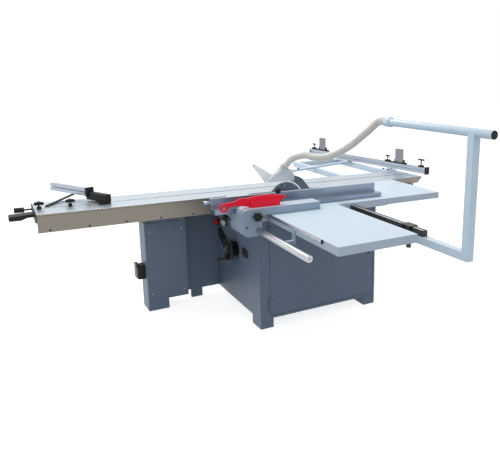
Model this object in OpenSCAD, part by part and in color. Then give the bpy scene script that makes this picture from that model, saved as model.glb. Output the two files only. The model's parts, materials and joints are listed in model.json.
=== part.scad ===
// Sliding table saw: steel cabinet, tilting saw unit, sliding table, rip and crosscut fences, dust arm.
// The origin is on the floor, in the middle of the cabinet's four foot bolts.
// X points to the rip fence side, Y along the feed, Z up. Millimetres.

/* [Stand] */
// Height of the table tops above the floor
table_h = 870; // [840:1:900]
// Width of the cabinet
cabinet_w = 900; // [880:1:940]
// Depth of the cabinet along the feed
cabinet_d = 980; // [960:1:1040]
// Sheet steel thickness
sheet = 4; // [3:0.5:6]
// Height of the feet
foot_h = 70; // [50:1:90]
// Foot length across the machine
foot_l = 150; // [120:1:180]
// Foot length along the feed
foot_w = 100; // [80:1:140]
// Bore for a floor bolt
floor_bolt_d = 14; // [10:0.5:18]
// Width of the front column
column_w = 174; // [140:1:220]
// Depth of the front column
column_d = 303; // [240:1:360]
// Free space between the column and the cabinet
column_gap = 287; // [200:1:340]

/* [Tables] */
// Length of the main table
main_l = 1065; // [1000:1:1100]
// Width of the main table
main_w = 666; // [640:1:700]
// Depth of the main table casting
main_t = 56; // [48:1:60]
// Thickness of the cast table plates
plate_t = 12; // [9:0.5:14]
// Length of the rear table
rear_l = 519; // [300:1:600]
// Depth of the rear table casting
rear_t = 50; // [40:1:56]
// Width of the right table
right_w = 938; // [800:1:1000]
// Length of the right table along the feed
right_l = 556; // [450:1:600]
// Depth of the right table
right_t = 54; // [44:1:58]

/* [Sliding table] */
// Length of the sliding table
slide_l = 3200; // [2800:1:3400]
// Width of the sliding table
slide_w = 400; // [380:1:420]
// Depth of the sliding table section
slide_t = 70; // [66:1:76]
// Height of the fixed beam below it
beam_h = 51; // [40:1:60]
// Width of the fixed beam
beam_w = 272; // [260:1:276]
// Diameter of the rollers between the two
roller_d = 24; // [20:0.5:26]
// Distance from the blade to the sliding table's edge
edge_gap = 40; // [36:0.5:46]

/* [Saw] */
// Diameter of the main saw blade
blade_d = 300; // [250:1:315]
// Cutting width of the main saw blade
kerf = 3.2; // [2.4:0.1:4]
// Number of teeth on the main saw blade
teeth = 48; // [24:4:72]
// Height of the blade above the table
blade_show = 80; // [60:1:84]
// Diameter of the scoring blade
score_d = 120; // [100:1:125]
// Arbor diameter
arbor_d = 30; // [25:0.5:32]
// Diameter of the handwheel
wheel_d = 180; // [160:1:200]
// Radius of the tilt slot about the blade's line on the table
slot_r = 396; // [390:1:402]
// Motor diameter
motor_d = 160; // [130:1:170]
// Motor length
motor_l = 215; // [180:1:230]

/* [Rip fence] */
// Length of the rip fence
rip_l = 1340; // [1000:1:1400]
// Height of the rip fence
rip_h = 92; // [80:1:110]
// Distance from the blade to the rip fence
rip_set = 422; // [380:1:460]
// Diameter of the round guide bar
bar_d = 44; // [38:0.5:46]
// Length of the round guide bar
bar_l = 1415; // [1300:1:1450]

/* [Crosscut fence] */
// Length of the crosscut fence
cross_l = 1815; // [1700:1:1900]
// Height of the crosscut fence
cross_h = 60; // [50:1:70]
// Angle at which the crosscut fence stands
cross_set = 9; // [6:0.5:12]
// Length of the outrigger's arms
arm_l = 1018; // [900:1:1100]
// Tube size of the outrigger
tube = 50; // [40:1:50]
// Length of the mitre fence
mitre_l = 426; // [350:1:450]
// Angle at which the mitre fence stands
mitre_set = 28; // [20:0.5:35]

/* [Dust arm] */
// Height of the dust arm's tube
arm_h = 1500; // [1400:1:1560]
// Outer diameter of the dust hose
hose_d = 56; // [50:1:60]
// Square size of the dust arm's post
post = 50; // [40:1:60]

/* [Hidden] */
$fn = 48;
eps = 0.01;
clear = 0.3;
wall = 6;

// Main levels
foot_top = foot_h;
cab_top = table_h - main_t;
slide_under = table_h - slide_t;
roller_gap = 0.3;
roof = slide_under + 21;
beam_top = roof - roller_d - 2 * roller_gap;
beam_bot = beam_top - beam_h;
shelf = beam_bot - 55;

// Places across the machine
blade_x = -122;
edge_x = blade_x - edge_gap;
slide_x = edge_x - slide_w / 2;
main_x0 = edge_x + 4;
main_x1 = main_x0 + main_w;
right_x1 = main_x1 + right_w;
cab_x = cabinet_w / 2;
step_x = main_x0 + 14;

// Places along the feed
cab_y = cabinet_d / 2;
main_y0 = -cab_y - 10;
main_y1 = main_y0 + main_l;
rear_y1 = main_y1 + rear_l;
right_y0 = main_y0 + 53;
right_y1 = right_y0 + right_l;
slide_mid = -162;
slide_y0 = slide_mid - slide_l / 2;
slide_y1 = slide_mid + slide_l / 2;
col_x = slide_x - 23;
col_y1 = -cab_y - column_gap;
col_y0 = col_y1 - column_d;
col_foot = 80;

// Saw unit
blade_y = -8;
arbor_z = table_h + blade_show - blade_d / 2;
rise_down = 85;
tilt_rest = 17;
tilt_most = 45;
wheel_x = blade_x + slot_r * sin(tilt_rest);
wheel_z = table_h - slot_r * cos(tilt_rest);

// Extrude a drawing of X and Z between two places along the feed
module xz(y0, y1) translate([0, y1, 0]) rotate([90, 0, 0]) linear_extrude(y1 - y0) children();

// Extrude a drawing of Y and Z between two places across the machine
module yz(x0, x1) translate([x0, 0, 0]) rotate([90, 0, 90]) linear_extrude(x1 - x0) children();

// A block between two corners
module block(a, b) translate(a) cube(b - a);

// A round bar along X, Y or Z from a point
module bar_x(p, l, d) translate(p) rotate([0, 90, 0]) cylinder(h = l, d = d);
module bar_y(p, l, d) translate(p) rotate([-90, 0, 0]) cylinder(h = l, d = d);
module bar_z(p, l, d) translate(p) cylinder(h = l, d = d);

// A rectangle with round corners
module rounded(x0, y0, x1, y1, r) {
  translate([x0 + r, y0]) square([x1 - x0 - 2 * r, y1 - y0]);
  translate([x0, y0 + r]) square([x1 - x0, y1 - y0 - 2 * r]);
  for (x = [x0 + r, x1 - r], y = [y0 + r, y1 - r])
    translate([x, y]) circle(r);
}

// A ring sector about the tilt line, angles from straight down and positive to the right
module sector(r0, r1, a0, a1) translate([blade_x, table_h]) intersection() {
  difference() {
    circle(r1, $fn = 96);
    circle(r0, $fn = 96);
  }
  polygon([[0, 0], for (a = [a0, (a0 + a1) / 2, a1]) 2 * r1 * [sin(a), -cos(a)]]);
}

// A slot along an arc about the tilt line, with round ends
module arc_slot(r, w, a0, a1) {
  sector(r - w / 2, r + w / 2, a0, a1);
  for (a = [a0, a1])
    translate([blade_x + r * sin(a), table_h - r * cos(a)]) circle(d = w);
}

// A square tube along X with open ends
module tube_x(p, l, s, t) translate(p) difference() {
  cube([l, s, s]);
  translate([-eps, t, t]) cube([l + 2 * eps, s - 2 * t, s - 2 * t]);
}

// Cabinet
door_y0 = -cab_y + 75;
door_y1 = cab_y - 20;
door_z0 = foot_top + 20;
door_z1 = cab_top - 14;
door_gap = 3;
pin_x = cab_x + 7;
pin_d = 8;
slot_w = 26;
port_d = 100;
module cabinet_outline() polygon([[-cab_x, foot_top], [cab_x, foot_top], [cab_x, cab_top],
  [step_x, cab_top], [step_x, shelf], [-cab_x, shelf]]);
module cabinet_shell() color("slategray") {
  xz(-cab_y, -cab_y + sheet) difference() {
    cabinet_outline();
    arc_slot(slot_r, slot_w, tilt_rest - tilt_most - 3, tilt_rest + 3);
    for (b = [stop_at, start_at]) translate(b) circle(d = stem_d + 2 * clear);
  }
  difference() {
    union() {
      xz(cab_y - sheet, cab_y) cabinet_outline();
      bar_y([port_x, cab_y - sheet, port_z], 60, port_d);
    }
    bar_y([port_x, cab_y - 2 * sheet, port_z], 100, port_d - 2 * sheet);
  }
  block([-cab_x, -cab_y + sheet, foot_top], [-cab_x + sheet, cab_y - sheet, shelf]);
  block([-cab_x + sheet, -cab_y + sheet, foot_top], [cab_x - sheet, cab_y - sheet, foot_top + sheet]);
  block([slide_x - 60, cab_y - 70, shelf], [slide_x + 60, cab_y, beam_bot]);
}
port_x = 150;
port_z = foot_top + 130;

// Right side: frame round the door, with the hinge pins
knuckle = 60;
knuckle_d = 14;
lug_h = 12;
leaf = [3, 40];
pin_run = 0.16;
module hinge_at() for (z = [door_z0 + 90, door_z1 - 90]) translate([pin_x, door_y0, z]) children();
module cabinet_right() color("slategray") {
  difference() {
    block([cab_x - sheet, -cab_y + sheet, foot_top], [cab_x, cab_y - sheet, cab_top]);
    block([cab_x - 2 * sheet, door_y0, door_z0], [cab_x + sheet, door_y1, door_z1]);
  }
  hinge_at() {
    for (s = [-1, 1]) translate([0, 0, s * (knuckle / 2 + 8) - lug_h / 2]) {
      cylinder(h = lug_h, d = knuckle_d);
      translate([cab_x - pin_x, -knuckle_d, 0]) cube([pin_x - cab_x, knuckle_d, lug_h]);
    }
    translate([0, 0, -knuckle / 2 - 8]) cylinder(h = knuckle + 16, d = pin_d);
  }
}
module door() color("slategray") {
  difference() {
    union() {
      block([cab_x - sheet, door_y0 + door_gap, door_z0 + door_gap],
        [cab_x, door_y1 - door_gap, door_z1 - door_gap]);
      hinge_at() translate([0, 0, -knuckle / 2]) {
        cylinder(h = knuckle, d = knuckle_d);
        translate([cab_x - pin_x, 0, 0]) cube([leaf[0], leaf[1], knuckle]);
      }
    }
    hinge_at() translate([0, 0, -knuckle]) cylinder(h = 2 * knuckle, d = pin_d + pin_run);
  }
  bar_x([cab_x, door_y1 - 30, (door_z0 + door_z1) / 2], 24, 34);
}

// Feet of the cabinet, the column and the tie: the cabinet's front left foot stands further back
tie_w = 30;
foot_back = 65;
bolt_x = cab_x - foot_l / 2;
bolt_y = cab_y - foot_w + 17;
col_foot_l = 152;
tie_foot_l = 90;
module feet() color("slategray") {
  for (x = [-1, 1], y = [-1, 1]) {
    back = x < 0 && y < 0 ? foot_back : 0;
    difference() {
      translate([x * bolt_x - foot_l / 2, y * (cab_y - foot_w / 2) - foot_w / 2 + back, 0])
        cube([foot_l, foot_w, foot_h]);
      bar_z([x * bolt_x, y * bolt_y, -1], foot_h + 2, floor_bolt_d);
    }
  }
  block([col_x - column_w / 2, col_y0, 0], [col_x + column_w / 2, col_y0 + col_foot_l, col_foot]);
  block([-cab_x, col_y1 + column_w / 3, 0], [-cab_x + tie_w, col_y1 + column_w / 3 + tie_foot_l, foot_top]);
}

// Column with the block that carries the beam, and the duct that ties it to the cabinet
module column() color("slategray") {
  difference() {
    block([col_x - column_w / 2, col_y0, col_foot], [col_x + column_w / 2, col_y1, shelf]);
    block([col_x - column_w / 2 + sheet, col_y0 + sheet, col_foot - 1],
      [col_x + column_w / 2 - sheet, col_y1 - sheet, shelf - sheet]);
  }
  block([slide_x - 60, col_y0 + 40, shelf], [slide_x + 60, col_y1 - 40, beam_bot]);
  block([-cab_x, col_y1, foot_top], [-cab_x + tie_w, -cab_y, shelf - 10]);
}

// Fixed beam under the sliding table, with a pocket beside the blade
beam_l = slide_l - 80;
pocket = 165;
module fixed_beam() color("silver") difference() {
  xz(slide_mid - beam_l / 2, slide_mid + beam_l / 2) difference() {
    translate([slide_x - beam_w / 2, beam_bot]) square([beam_w, beam_h]);
    for (s = [-1, 0, 1])
      translate([slide_x + s * (beam_w - 14) / 3 - (beam_w - 62) / 6, beam_bot + 8])
        square([(beam_w - 62) / 3, beam_h - 20]);
    for (s = [-1, 1])
      translate([slide_x + s * beam_w / 2 - 5, beam_bot + beam_h / 2 - 5]) square([10, 10]);
  }
  block([slide_x + beam_w / 2 - 44, blade_y - pocket, beam_bot - 1],
    [slide_x + beam_w / 2 + 1, blade_y + pocket + 60, beam_top + 1]);
}

// Cast tables: a plate with a rim and ribs below
module casting(a, b, depth, rim, cells) difference() {
  block([a[0], a[1], table_h - depth], [b[0], b[1], table_h]);
  cw = (b[0] - a[0] - rim) / cells[0];
  cl = (b[1] - a[1] - rim) / cells[1];
  for (i = [0:cells[0] - 1], j = [0:cells[1] - 1])
    translate([a[0] + rim + i * cw, a[1] + rim + j * cl, table_h - depth - 1])
      cube([cw - rim, cl - rim, depth - plate_t + 1]);
}
well_w = 345;
well_y0 = blade_y - 420;
well_y1 = blade_y + 420;
insert_w = 70;
insert_l = 640;
insert_t = 6;
module main_table() color("lightsteelblue") difference() {
  casting([main_x0, main_y0], [main_x1, main_y1], main_t, 14, [3, 4]);
  block([main_x0 - 1, well_y0, table_h - main_t - 1], [main_x0 + well_w, well_y1, table_h - plate_t]);
  block([main_x0 - 1, blade_y - insert_l / 2, table_h - insert_t],
    [main_x0 + insert_w, blade_y + insert_l / 2, table_h + 1]);
  block([main_x0 - 1, blade_y - insert_l / 2 + 12, table_h - plate_t - 1],
    [main_x0 + insert_w - 12, blade_y + insert_l / 2 - 12, table_h + 1]);
}
module rear_table() color("lightsteelblue")
  casting([main_x0, main_y1], [main_x1, rear_y1], rear_t, 12, [3, 2]);
module right_table() color("lightsteelblue")
  casting([main_x1, right_y0], [right_x1, right_y1], right_t, 10, [4, 2]);

// Insert plate beside the blade: its slot clears the blades when they tilt
module table_insert() color("silver") difference() {
  block([main_x0, blade_y - insert_l / 2 + 0.5, table_h - insert_t],
    [main_x0 + insert_w - 0.5, blade_y + insert_l / 2 - 0.5, table_h]);
  block([main_x0 - 1, blade_y - 308, table_h - insert_t - 1], [blade_x + 14, blade_y + 250, table_h + 1]);
}

// Sliding table: hollow section with a sloped side that clears the tilted blade
lip = 10;
tee_w = 14;
tee_in = 24;
tee_deep = 12;
track_w = 190;
module tee_slot(x, z, w, inner, lip_t, depth) translate([x, z]) {
  translate([-w / 2, -lip_t - 1]) square([w, lip_t + 2]);
  translate([-inner / 2, -lip_t - depth]) square([inner, depth]);
}
slide_in = slide_w / 2 - slide_t + lip;
module slide_outline() translate([slide_x, table_h]) polygon([[-slide_w / 2, 0], [-slide_w / 2, -lip],
  [-slide_in, -slide_t], [slide_in, -slide_t], [slide_w / 2, -lip], [slide_w / 2, 0]]);
module sliding_table() color("gainsboro") xz(slide_y0, slide_y1) difference() {
  slide_outline();
  translate([slide_x - track_w / 2, slide_under - 1]) square([track_w, roof - slide_under + 1]);
  tee_slot(slide_x, table_h, tee_w, tee_in, 8, tee_deep);
  for (s = [-1, 1]) {
    translate([slide_x + s * 62 - 34, roof + 8]) square([68, table_h - roof - 18]);
    translate([slide_x + s * 128 - 22, roof + 8]) square([44, table_h - roof - 18]);
  }
}
end_t = 6;
lock_x = slide_x - 110;
lock_z = table_h - 22;
rod_d = 12;
module table_ends() color("dimgray") difference() {
  for (y = [slide_y0 - end_t, slide_y1]) xz(y, y + end_t) slide_outline();
  bar_y([lock_x, slide_y0 - end_t - 1, lock_z], end_t + 2, rod_d + 2 * clear);
}

// Push handle: a paddle that thickens towards its end
handle_l = 145;
module push_handle() color("black") yz(slide_x - 10, slide_x + 80)
  translate([slide_y0 - end_t, table_h]) polygon([[0, -18], [-handle_l + 6, -24], [-handle_l, -30],
    [-handle_l, -50], [-handle_l + 6, -54], [-75, -54], [-40, -40], [0, -38]]);
module lock_knob() color("black") {
  bar_y([lock_x, slide_y0 - end_t - 46, lock_z], 46 + end_t - clear, rod_d);
  difference() {
    bar_y([lock_x, slide_y0 - end_t - 106, lock_z], 60, 36);
    for (a = [0:45:315])
      translate([lock_x, 0, lock_z]) rotate([0, a, 0]) bar_y([20, slide_y0 - end_t - 107, 0], 62, 8);
  }
}

// A clamp with a cross handle, standing in a T slot
module tee_knob(p) translate(p) {
  translate([0, 0, clear]) cylinder(h = 14, d = 27);
  cylinder(h = 34, d = 10);
  translate([0, 0, -8 - tee_deep + 1]) cylinder(h = tee_deep - 2, d = tee_in - 3);
  translate([0, 0, -10]) cylinder(h = 12, d = 10);
  bar_x([-26, 0, 34], 52, 14);
}
tee_y = [slide_y0 + 31, slide_y0 + 220];
module tee_knob_front() color("black") tee_knob([slide_x, tee_y[0], table_h]);
module tee_knob_rear() color("black") tee_knob([slide_x, tee_y[1], table_h]);

// Rollers and their cage
cage_l = 1600;
roller_n = 9;
roller_z = beam_top + roller_gap + roller_d / 2;
cage_y0 = slide_mid - cage_l / 2;
cage_w = 168;
module roller_at() for (i = [0:roller_n - 1], s = [-1, 1])
  translate([slide_x + s * 50, cage_y0 + (i + 0.5) * cage_l / roller_n, roller_z]) children();
module roller_cage() color("silver") {
  difference() {
    block([slide_x - cage_w / 2, cage_y0, roller_z - 3],
      [slide_x + cage_w / 2, cage_y0 + cage_l, roller_z + 3]);
    roller_at() cube([44, roller_d + 1, 20], center = true);
  }
  roller_at() {
    bar_x([-21.6, 0, 0], 43.2, roller_d);
    bar_x([-23, 0, 0], 46, 5);
  }
}

// Mitre fence on the sliding table
mitre_y = slide_y0 + 430;
mitre_z = table_h + 10;
mitre_pin = 16;
module mitre_frame() translate([slide_x, mitre_y, 0]) rotate([0, 0, 180 + mitre_set]) children();
strut_at = 330;
module mitre_base() color("black") {
  block([slide_x - 75, mitre_y - 40, table_h], [slide_x + 75, mitre_y + 40, mitre_z]);
  bar_z([slide_x, mitre_y, mitre_z - 1], 36, mitre_pin);
  hull() {
    translate([slide_x - 40, tee_y[0] + 50, table_h]) cylinder(h = 8, d = 24, $fn = 24);
    mitre_frame() translate([strut_at, 0, table_h + 20]) cylinder(h = 8, d = 20, $fn = 24);
  }
}
module mitre_block() color("black") mitre_frame() difference() {
  union() {
    block([-60, -22, mitre_z + clear], [150, 22, table_h + 64]);
    block([128, -26, table_h + 30], [150, 30, table_h + 96]);
  }
  translate([0, 0, mitre_z - 1]) cylinder(h = 40, d = mitre_pin + 2 * clear);
}
module mitre_fence() color("silver") mitre_frame() yz(150, 150 + mitre_l) difference() {
  translate([-14, table_h + 30]) square([28, 56]);
  for (s = [-1, 1]) translate([0, table_h + 60]) rotate(s * 90) tee_slot(0, 14, 8, 14, 4, 6);
}

// Outrigger: tube frame beyond the sliding table, with the rail that the fence is set along
out_x0 = slide_x - slide_w / 2 - arm_l;
out_x1 = slide_x - slide_w / 2;
out_end = 68;
out_deep = 586;
out_y1 = slide_y1 - out_end;
out_y0 = out_y1 - out_deep;
out_z = table_h - 2 - tube;
pivot = [out_x1 - 78, slide_y1 - 24];
cross_z = table_h + 22;
pivot_pin = 20;
rail_h = 18;
tube_t = 4;
pad = 8;
module outrigger_frame() color("lightsteelblue") {
  difference() {
    union() {
      for (y = [out_y0, out_y1 - tube]) tube_x([out_x0, y, out_z], arm_l - pad / 2, tube, tube_t);
      block([out_x0, out_y0 + tube - 1, out_z], [out_x0 + tube, out_y1 - tube + 1, out_z + tube]);
    }
    block([out_x0 + tube_t, out_y0 + tube - 2 * tube_t, out_z + tube_t],
      [out_x0 + tube - tube_t, out_y1 - tube + 2 * tube_t, out_z + tube - tube_t]);
  }
  for (y = [out_y0, out_y1 - tube])
    block([out_x1 - pad, y - 30, out_z - 10], [out_x1, y + tube + 30, out_z + tube]);
  block([pivot[0] - 60, out_y1 - tube, out_z + tube], [pivot[0] + 60, pivot[1] + 40, out_z + tube + pad]);
  bar_z([pivot[0], pivot[1], out_z + tube], cross_z - clear - out_z - tube, 50);
  bar_z([pivot[0], pivot[1], cross_z - 1], 20, pivot_pin);
  block([out_x0, out_y1 - 150, out_z + tube], [out_x0 + tube, out_y1 - 110, cross_z - clear]);
  translate([out_x0 + 480, out_y0 + tube / 2, 0]) rotate([0, 0, 19])
    block([-20, -370, out_z + tube], [20, 570, out_z + tube + rail_h]);
}

// Crosscut fence, along its own X from the pivot
cross_w = 40;
cross_x0 = -495;
cross_x1 = cross_x0 + cross_l;
cross_top = cross_z + cross_h;
module cross_frame() translate([pivot[0], pivot[1], 0]) rotate([0, 0, 180 + cross_set]) children();
module crosscut_fence() color("gainsboro") cross_frame() difference() {
  yz(cross_x0, cross_x1) difference() {
    translate([-cross_w / 2, cross_z]) square([cross_w, cross_h]);
    tee_slot(0, cross_top, 8, 16, 4, 8);
    for (s = [-1, 1]) translate([0, cross_z + cross_h / 2]) rotate(s * 90)
      tee_slot(0, cross_w / 2, 8, 16, 4, 6);
  }
  translate([0, 0, cross_z - 1]) cylinder(h = 22, d = pivot_pin + 2 * clear);
}
module fence_caps() color("black") cross_frame() {
  block([cross_x0 - 14, -26, cross_z - 4], [cross_x0, 26, cross_top + 6]);
  block([cross_x1, -22, cross_z], [cross_x1 + 10, 22, cross_top]);
  translate([cross_x0 + 70, 0, cross_top]) {
    translate([-22, -20, 0]) cube([44, 40, 16]);
    cylinder(h = 70, d = 12);
    bar_x([-36, 0, 70], 72, 16);
  }
}

// Flip stops: a clamp on the fence, a rod, and a flap on a pin that flips down before the fence
stop_x = [35, 1268];
flap_y = cross_w / 2 + 8;
flap_z = cross_top + 38;
flap_pin = 8;
flap_w = 110;
flap_t = 8;
flap_up = 112;
flap_low = 20;
flap_x0 = -245;
flap_x1 = flap_x0 + flap_w;
lug_t = 7;
seat_h = 14;
module stop_carriage(x) cross_frame() translate([x, 0, 0]) {
  block([-24, -20, cross_top + clear], [24, 20, cross_top + 20]);
  block([flap_x0 - lug_t, -20, cross_top + clear], [flap_x1 + lug_t, 20, cross_top + seat_h]);
  bar_x([flap_x1, 0, cross_top + seat_h / 2], -flap_x1, 12);
  for (a = [flap_x0 - lug_t, flap_x1])
    block([a, 10, cross_top + 4], [a + lug_t, flap_y + 7, flap_z + 7]);
  bar_x([flap_x0 - lug_t, flap_y, flap_z], flap_w + 2 * lug_t, flap_pin);
  translate([0, 0, cross_top + 19]) cylinder(h = 42, d = 12);
  bar_x([-26, 0, cross_top + 60], 52, 15);
}
module stop_flap(x) cross_frame() translate([x, 0, 0]) difference() {
  union() {
    bar_x([flap_x0 + 0.5, flap_y, flap_z], flap_w - 1, 16);
    translate([0, flap_y + flap_t / 2, flap_z]) rotate([90, 0, 0]) linear_extrude(flap_t)
      rounded(flap_x0 + 2, -flap_low, flap_x1 - 2, flap_up, 8);
  }
  bar_x([flap_x0 - 1, flap_y, flap_z], flap_w + 2, flap_pin + pin_run);
}
module stop_near() color("black") stop_carriage(stop_x[0]);
module stop_far() color("black") stop_carriage(stop_x[1]);
module stop_near_flap() color("gray") stop_flap(stop_x[0]);
module stop_far_flap() color("gray") stop_flap(stop_x[1]);

// Round bar for the rip fence, its brackets and the scale rail
bar_y0 = main_y0 - 13 - bar_d / 2;
bar_z0 = cab_top - 44;
bar_x0 = main_x0 + 18;
bar_x1 = bar_x0 + bar_l;
module round_bar() color("silver") difference() {
  bar_x([bar_x0, bar_y0, bar_z0], bar_l, bar_d);
  bar_x([bar_x1 - 6, bar_y0, bar_z0], 10, 16);
}
stud_x = [main_x0 + 60, main_x1 - 40, main_x1 + 400];
boss_d = 22;
module bar_brackets() color("silver") for (x = stud_x) {
  face = x < main_x1 ? main_y0 : right_y0;
  difference() {
    union() {
      bar_y([x, bar_y0, bar_z0], face - bar_y0, boss_d);
      block([x - 22, face - wall, bar_z0 - 16], [x + 22, face, table_h - 28]);
    }
    bar_x([x - 60, bar_y0, bar_z0], 120, bar_d);
  }
}
rail_l = 761;
rail_x1 = main_x1 + rail_l;
module scale_rail() color("silver") {
  block([main_x0 + 10, main_y0 - 5, table_h - 20], [main_x1 - 4, main_y0, table_h - 3]);
  block([main_x1, right_y0 - 5, table_h - 20], [rail_x1, right_y0, table_h - 3]);
}

// Rip fence carrier: hooks over the bar, open behind for the brackets
rip_x0 = blade_x + rip_set;
fence_w = 24;
lip_w = 96;
lip_h = 30;
lift = 3;
car_x0 = rip_x0 + 40;
car_x1 = car_x0 + 225;
car_y0 = bar_y0 - 112;
car_y1 = main_y0 - 12;
car_r = 40;
car_wall = 8;
car_bot = bar_z0 - bar_d / 2 - 14;
car_top = table_h + 52;
arm_x0 = rip_x0 + fence_w + lip_w + 24;
arm_y1 = main_y0 + 430;
module rip_carrier() color("lightgray") difference() {
  union() {
    yz(car_x0, car_x1) rounded(car_y0, car_bot, car_y1, table_h - 2, car_r);
    yz(arm_x0, car_x1) rounded(car_y0, car_bot, car_y1, car_top, car_r);
    block([arm_x0, car_y1 - car_r, bar_z0 + bar_d], [car_x1, car_y1, car_top]);
    block([arm_x0, car_y1 - car_r, table_h + lift], [car_x1, arm_y1, car_top]);
  }
  block([arm_x0 + car_wall, car_y1 + car_wall, table_h],
    [car_x1 - car_wall, arm_y1 - car_wall, car_top - car_wall]);
  bar_x([car_x0 - 1, bar_y0, bar_z0], car_x1 - car_x0 + 2, bar_d + 2 * clear);
  block([car_x0 - 1, bar_y0, bar_z0 - 15], [car_x1 + 1, car_y1 + 1, bar_z0 + 15]);
  bar_x([car_x1 - 20, car_y0 + 28, bar_z0 + 30], 21, 20);
}
lever_y = car_y0 + 24;
lever_z = bar_z0 + 30;
lever_l = 75;
module carrier_lever() color("black") translate([car_x0 - clear, lever_y, lever_z]) {
  bar_x([-18, 0, 0], 18, 26);
  rotate([-20, 0, 0]) {
    bar_y([-9, -lever_l, 0], lever_l, 9);
    translate([-9, -lever_l, 0]) sphere(d = 28);
  }
}

// Star knob on the carrier's right face
star_y = car_y1 - 41;
star_z = table_h + 2;
module star_knob() color("black") {
  yz(car_x1 + 16, car_x1 + 40) translate([star_y, star_z]) {
    circle(d = 46);
    for (a = [0:60:300]) rotate(a) translate([22, 0]) circle(d = 18);
  }
  bar_x([car_x1 + clear, star_y, star_z], 17, 18);
}

// Rip fence profile: a tall plate and a low lip with two ridges
rip_y0 = main_y0 - 280;
rip_y1 = rip_y0 + rip_l;
rip_z = table_h + lift;
module rip_fence() color("gainsboro") {
  xz(rip_y0, rip_y1) translate([rip_x0, rip_z]) difference() {
    union() {
      square([fence_w, rip_h]);
      translate([fence_w - 1, 0]) square([lip_w + 1, lip_h]);
    }
    for (z = [[5, 43], [50, rip_h - 5]])
      translate([5, z[0]]) square([fence_w - 10, z[1] - z[0]]);
    for (k = [0.3, 0.72]) tee_slot(fence_w + lip_w * k, lip_h, 9, 18, 4, 8);
    translate([fence_w, 5]) square([lip_w - 5, 10]);
  }
  bar_y([rip_x0 + fence_w / 2, rip_y0 - 40, rip_z + rip_h - 26], 40, 22);
}
clamp_y = main_y0 + 167;
clamp_l = 56;
clamp_x = rip_x0 + fence_w + lip_w / 2;
clamp_z = rip_z + lip_h + clear;
module fence_clamp() color("black") {
  block([clamp_x - 30, clamp_y, clamp_z], [arm_x0, clamp_y + clamp_l, clamp_z + 14]);
  bar_z([clamp_x, clamp_y + clamp_l / 2, clamp_z + 13], 60, 12);
  bar_z([clamp_x, clamp_y + clamp_l / 2, clamp_z + 70], 22, 40);
}

// Push stick in its holder on top of the carrier
hold_x0 = car_x1 - 85;
hold_w = 50;
hold_y0 = car_y1 - 63;
hold_y1 = hold_y0 + 212;
hold_h = 44;
hold_floor = 4;
stick_x = hold_x0 + 19;
stick_t = 12;
ring_at = [-175, 10];
module stick_holder() color("red") difference() {
  block([hold_x0, hold_y0, car_top], [hold_x0 + hold_w, hold_y1, car_top + hold_h]);
  block([stick_x - clear, hold_y0 - 1, car_top + hold_floor],
    [stick_x + stick_t + clear, hold_y1 + 1, car_top + hold_h + 1]);
}
module push_stick() color("red") yz(stick_x, stick_x + stick_t)
  translate([hold_y0, car_top + hold_floor + clear]) difference() {
    union() {
      polygon([[-172, -12], [-128, 16], [-60, 12], [0, 0], [210, 0], [238, 32], [268, 40], [262, 54],
        [205, 66], [135, 71], [40, 68], [-20, 60], [-64, 64], [-92, 50], [-130, 44], [-180, 36]]);
      translate(ring_at) circle(d = 58);
    }
    translate(ring_at) circle(d = 30);
  }

// Dust arm: a rail behind the right table, a bar and post, and the tube that holds the hose
arm_y = right_y1 + 131;
rail_z = table_h - 58;
post_x = right_x1 + 296;
tube_x0 = right_x1 - 536;
tube_x1 = right_x1 + 446;
tube_d = 50;
grip_x = right_x1 - 250;
grip_l = 100;
grip_t = 6;
grip_y = 34;
arm_rail_s = 40;
arm_rail_t = 4;
module arm_rail() color("dimgray") {
  tube_x([main_x1, arm_y - arm_rail_s / 2, rail_z], right_w - 90, arm_rail_s, arm_rail_t);
  for (z = [rail_z + arm_rail_s, rail_z - post - 8 - grip_t])
    block([grip_x - grip_l / 2, arm_y - grip_y, z], [grip_x + grip_l / 2, arm_y + grip_y, z + grip_t]);
  for (x = [-40, 30], y = [2 - grip_y, grip_y - 8])
    block([grip_x + x, arm_y + y, rail_z - post - 8],
      [grip_x + x + 12, arm_y + y + grip_t, rail_z + arm_rail_s]);
  bar_z([grip_x, arm_y, rail_z - post - 60], 47, 34);
}
arm_in = 70;
module dust_arm() color("silver") {
  tube_x([grip_x - arm_in, arm_y - post / 2, rail_z - post], post_x - grip_x + arm_in - post / 2, post, 4);
  difference() {
    block([post_x - post / 2, arm_y - post / 2, rail_z - post],
      [post_x + post / 2, arm_y + post / 2, arm_h]);
    block([post_x - post / 2 + 4, arm_y - post / 2 + 4, rail_z - post + 4],
      [post_x + post / 2 - 4, arm_y + post / 2 - 4, arm_h + 1]);
    bar_x([post_x - post, arm_y, arm_h], 2 * post, tube_d);
  }
}
module arm_tube() color("silver") difference() {
  union() {
    bar_x([tube_x0, arm_y, arm_h], tube_x1 - tube_x0, tube_d);
    bar_x([tube_x0, arm_y, arm_h], 60, hose_d + 10);
  }
  bar_x([tube_x0 - 1, arm_y, arm_h], tube_x1 - tube_x0 + 2, tube_d - 6);
  bar_x([tube_x0 - 1, arm_y, arm_h], 41, hose_d + 2 * clear);
}

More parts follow.
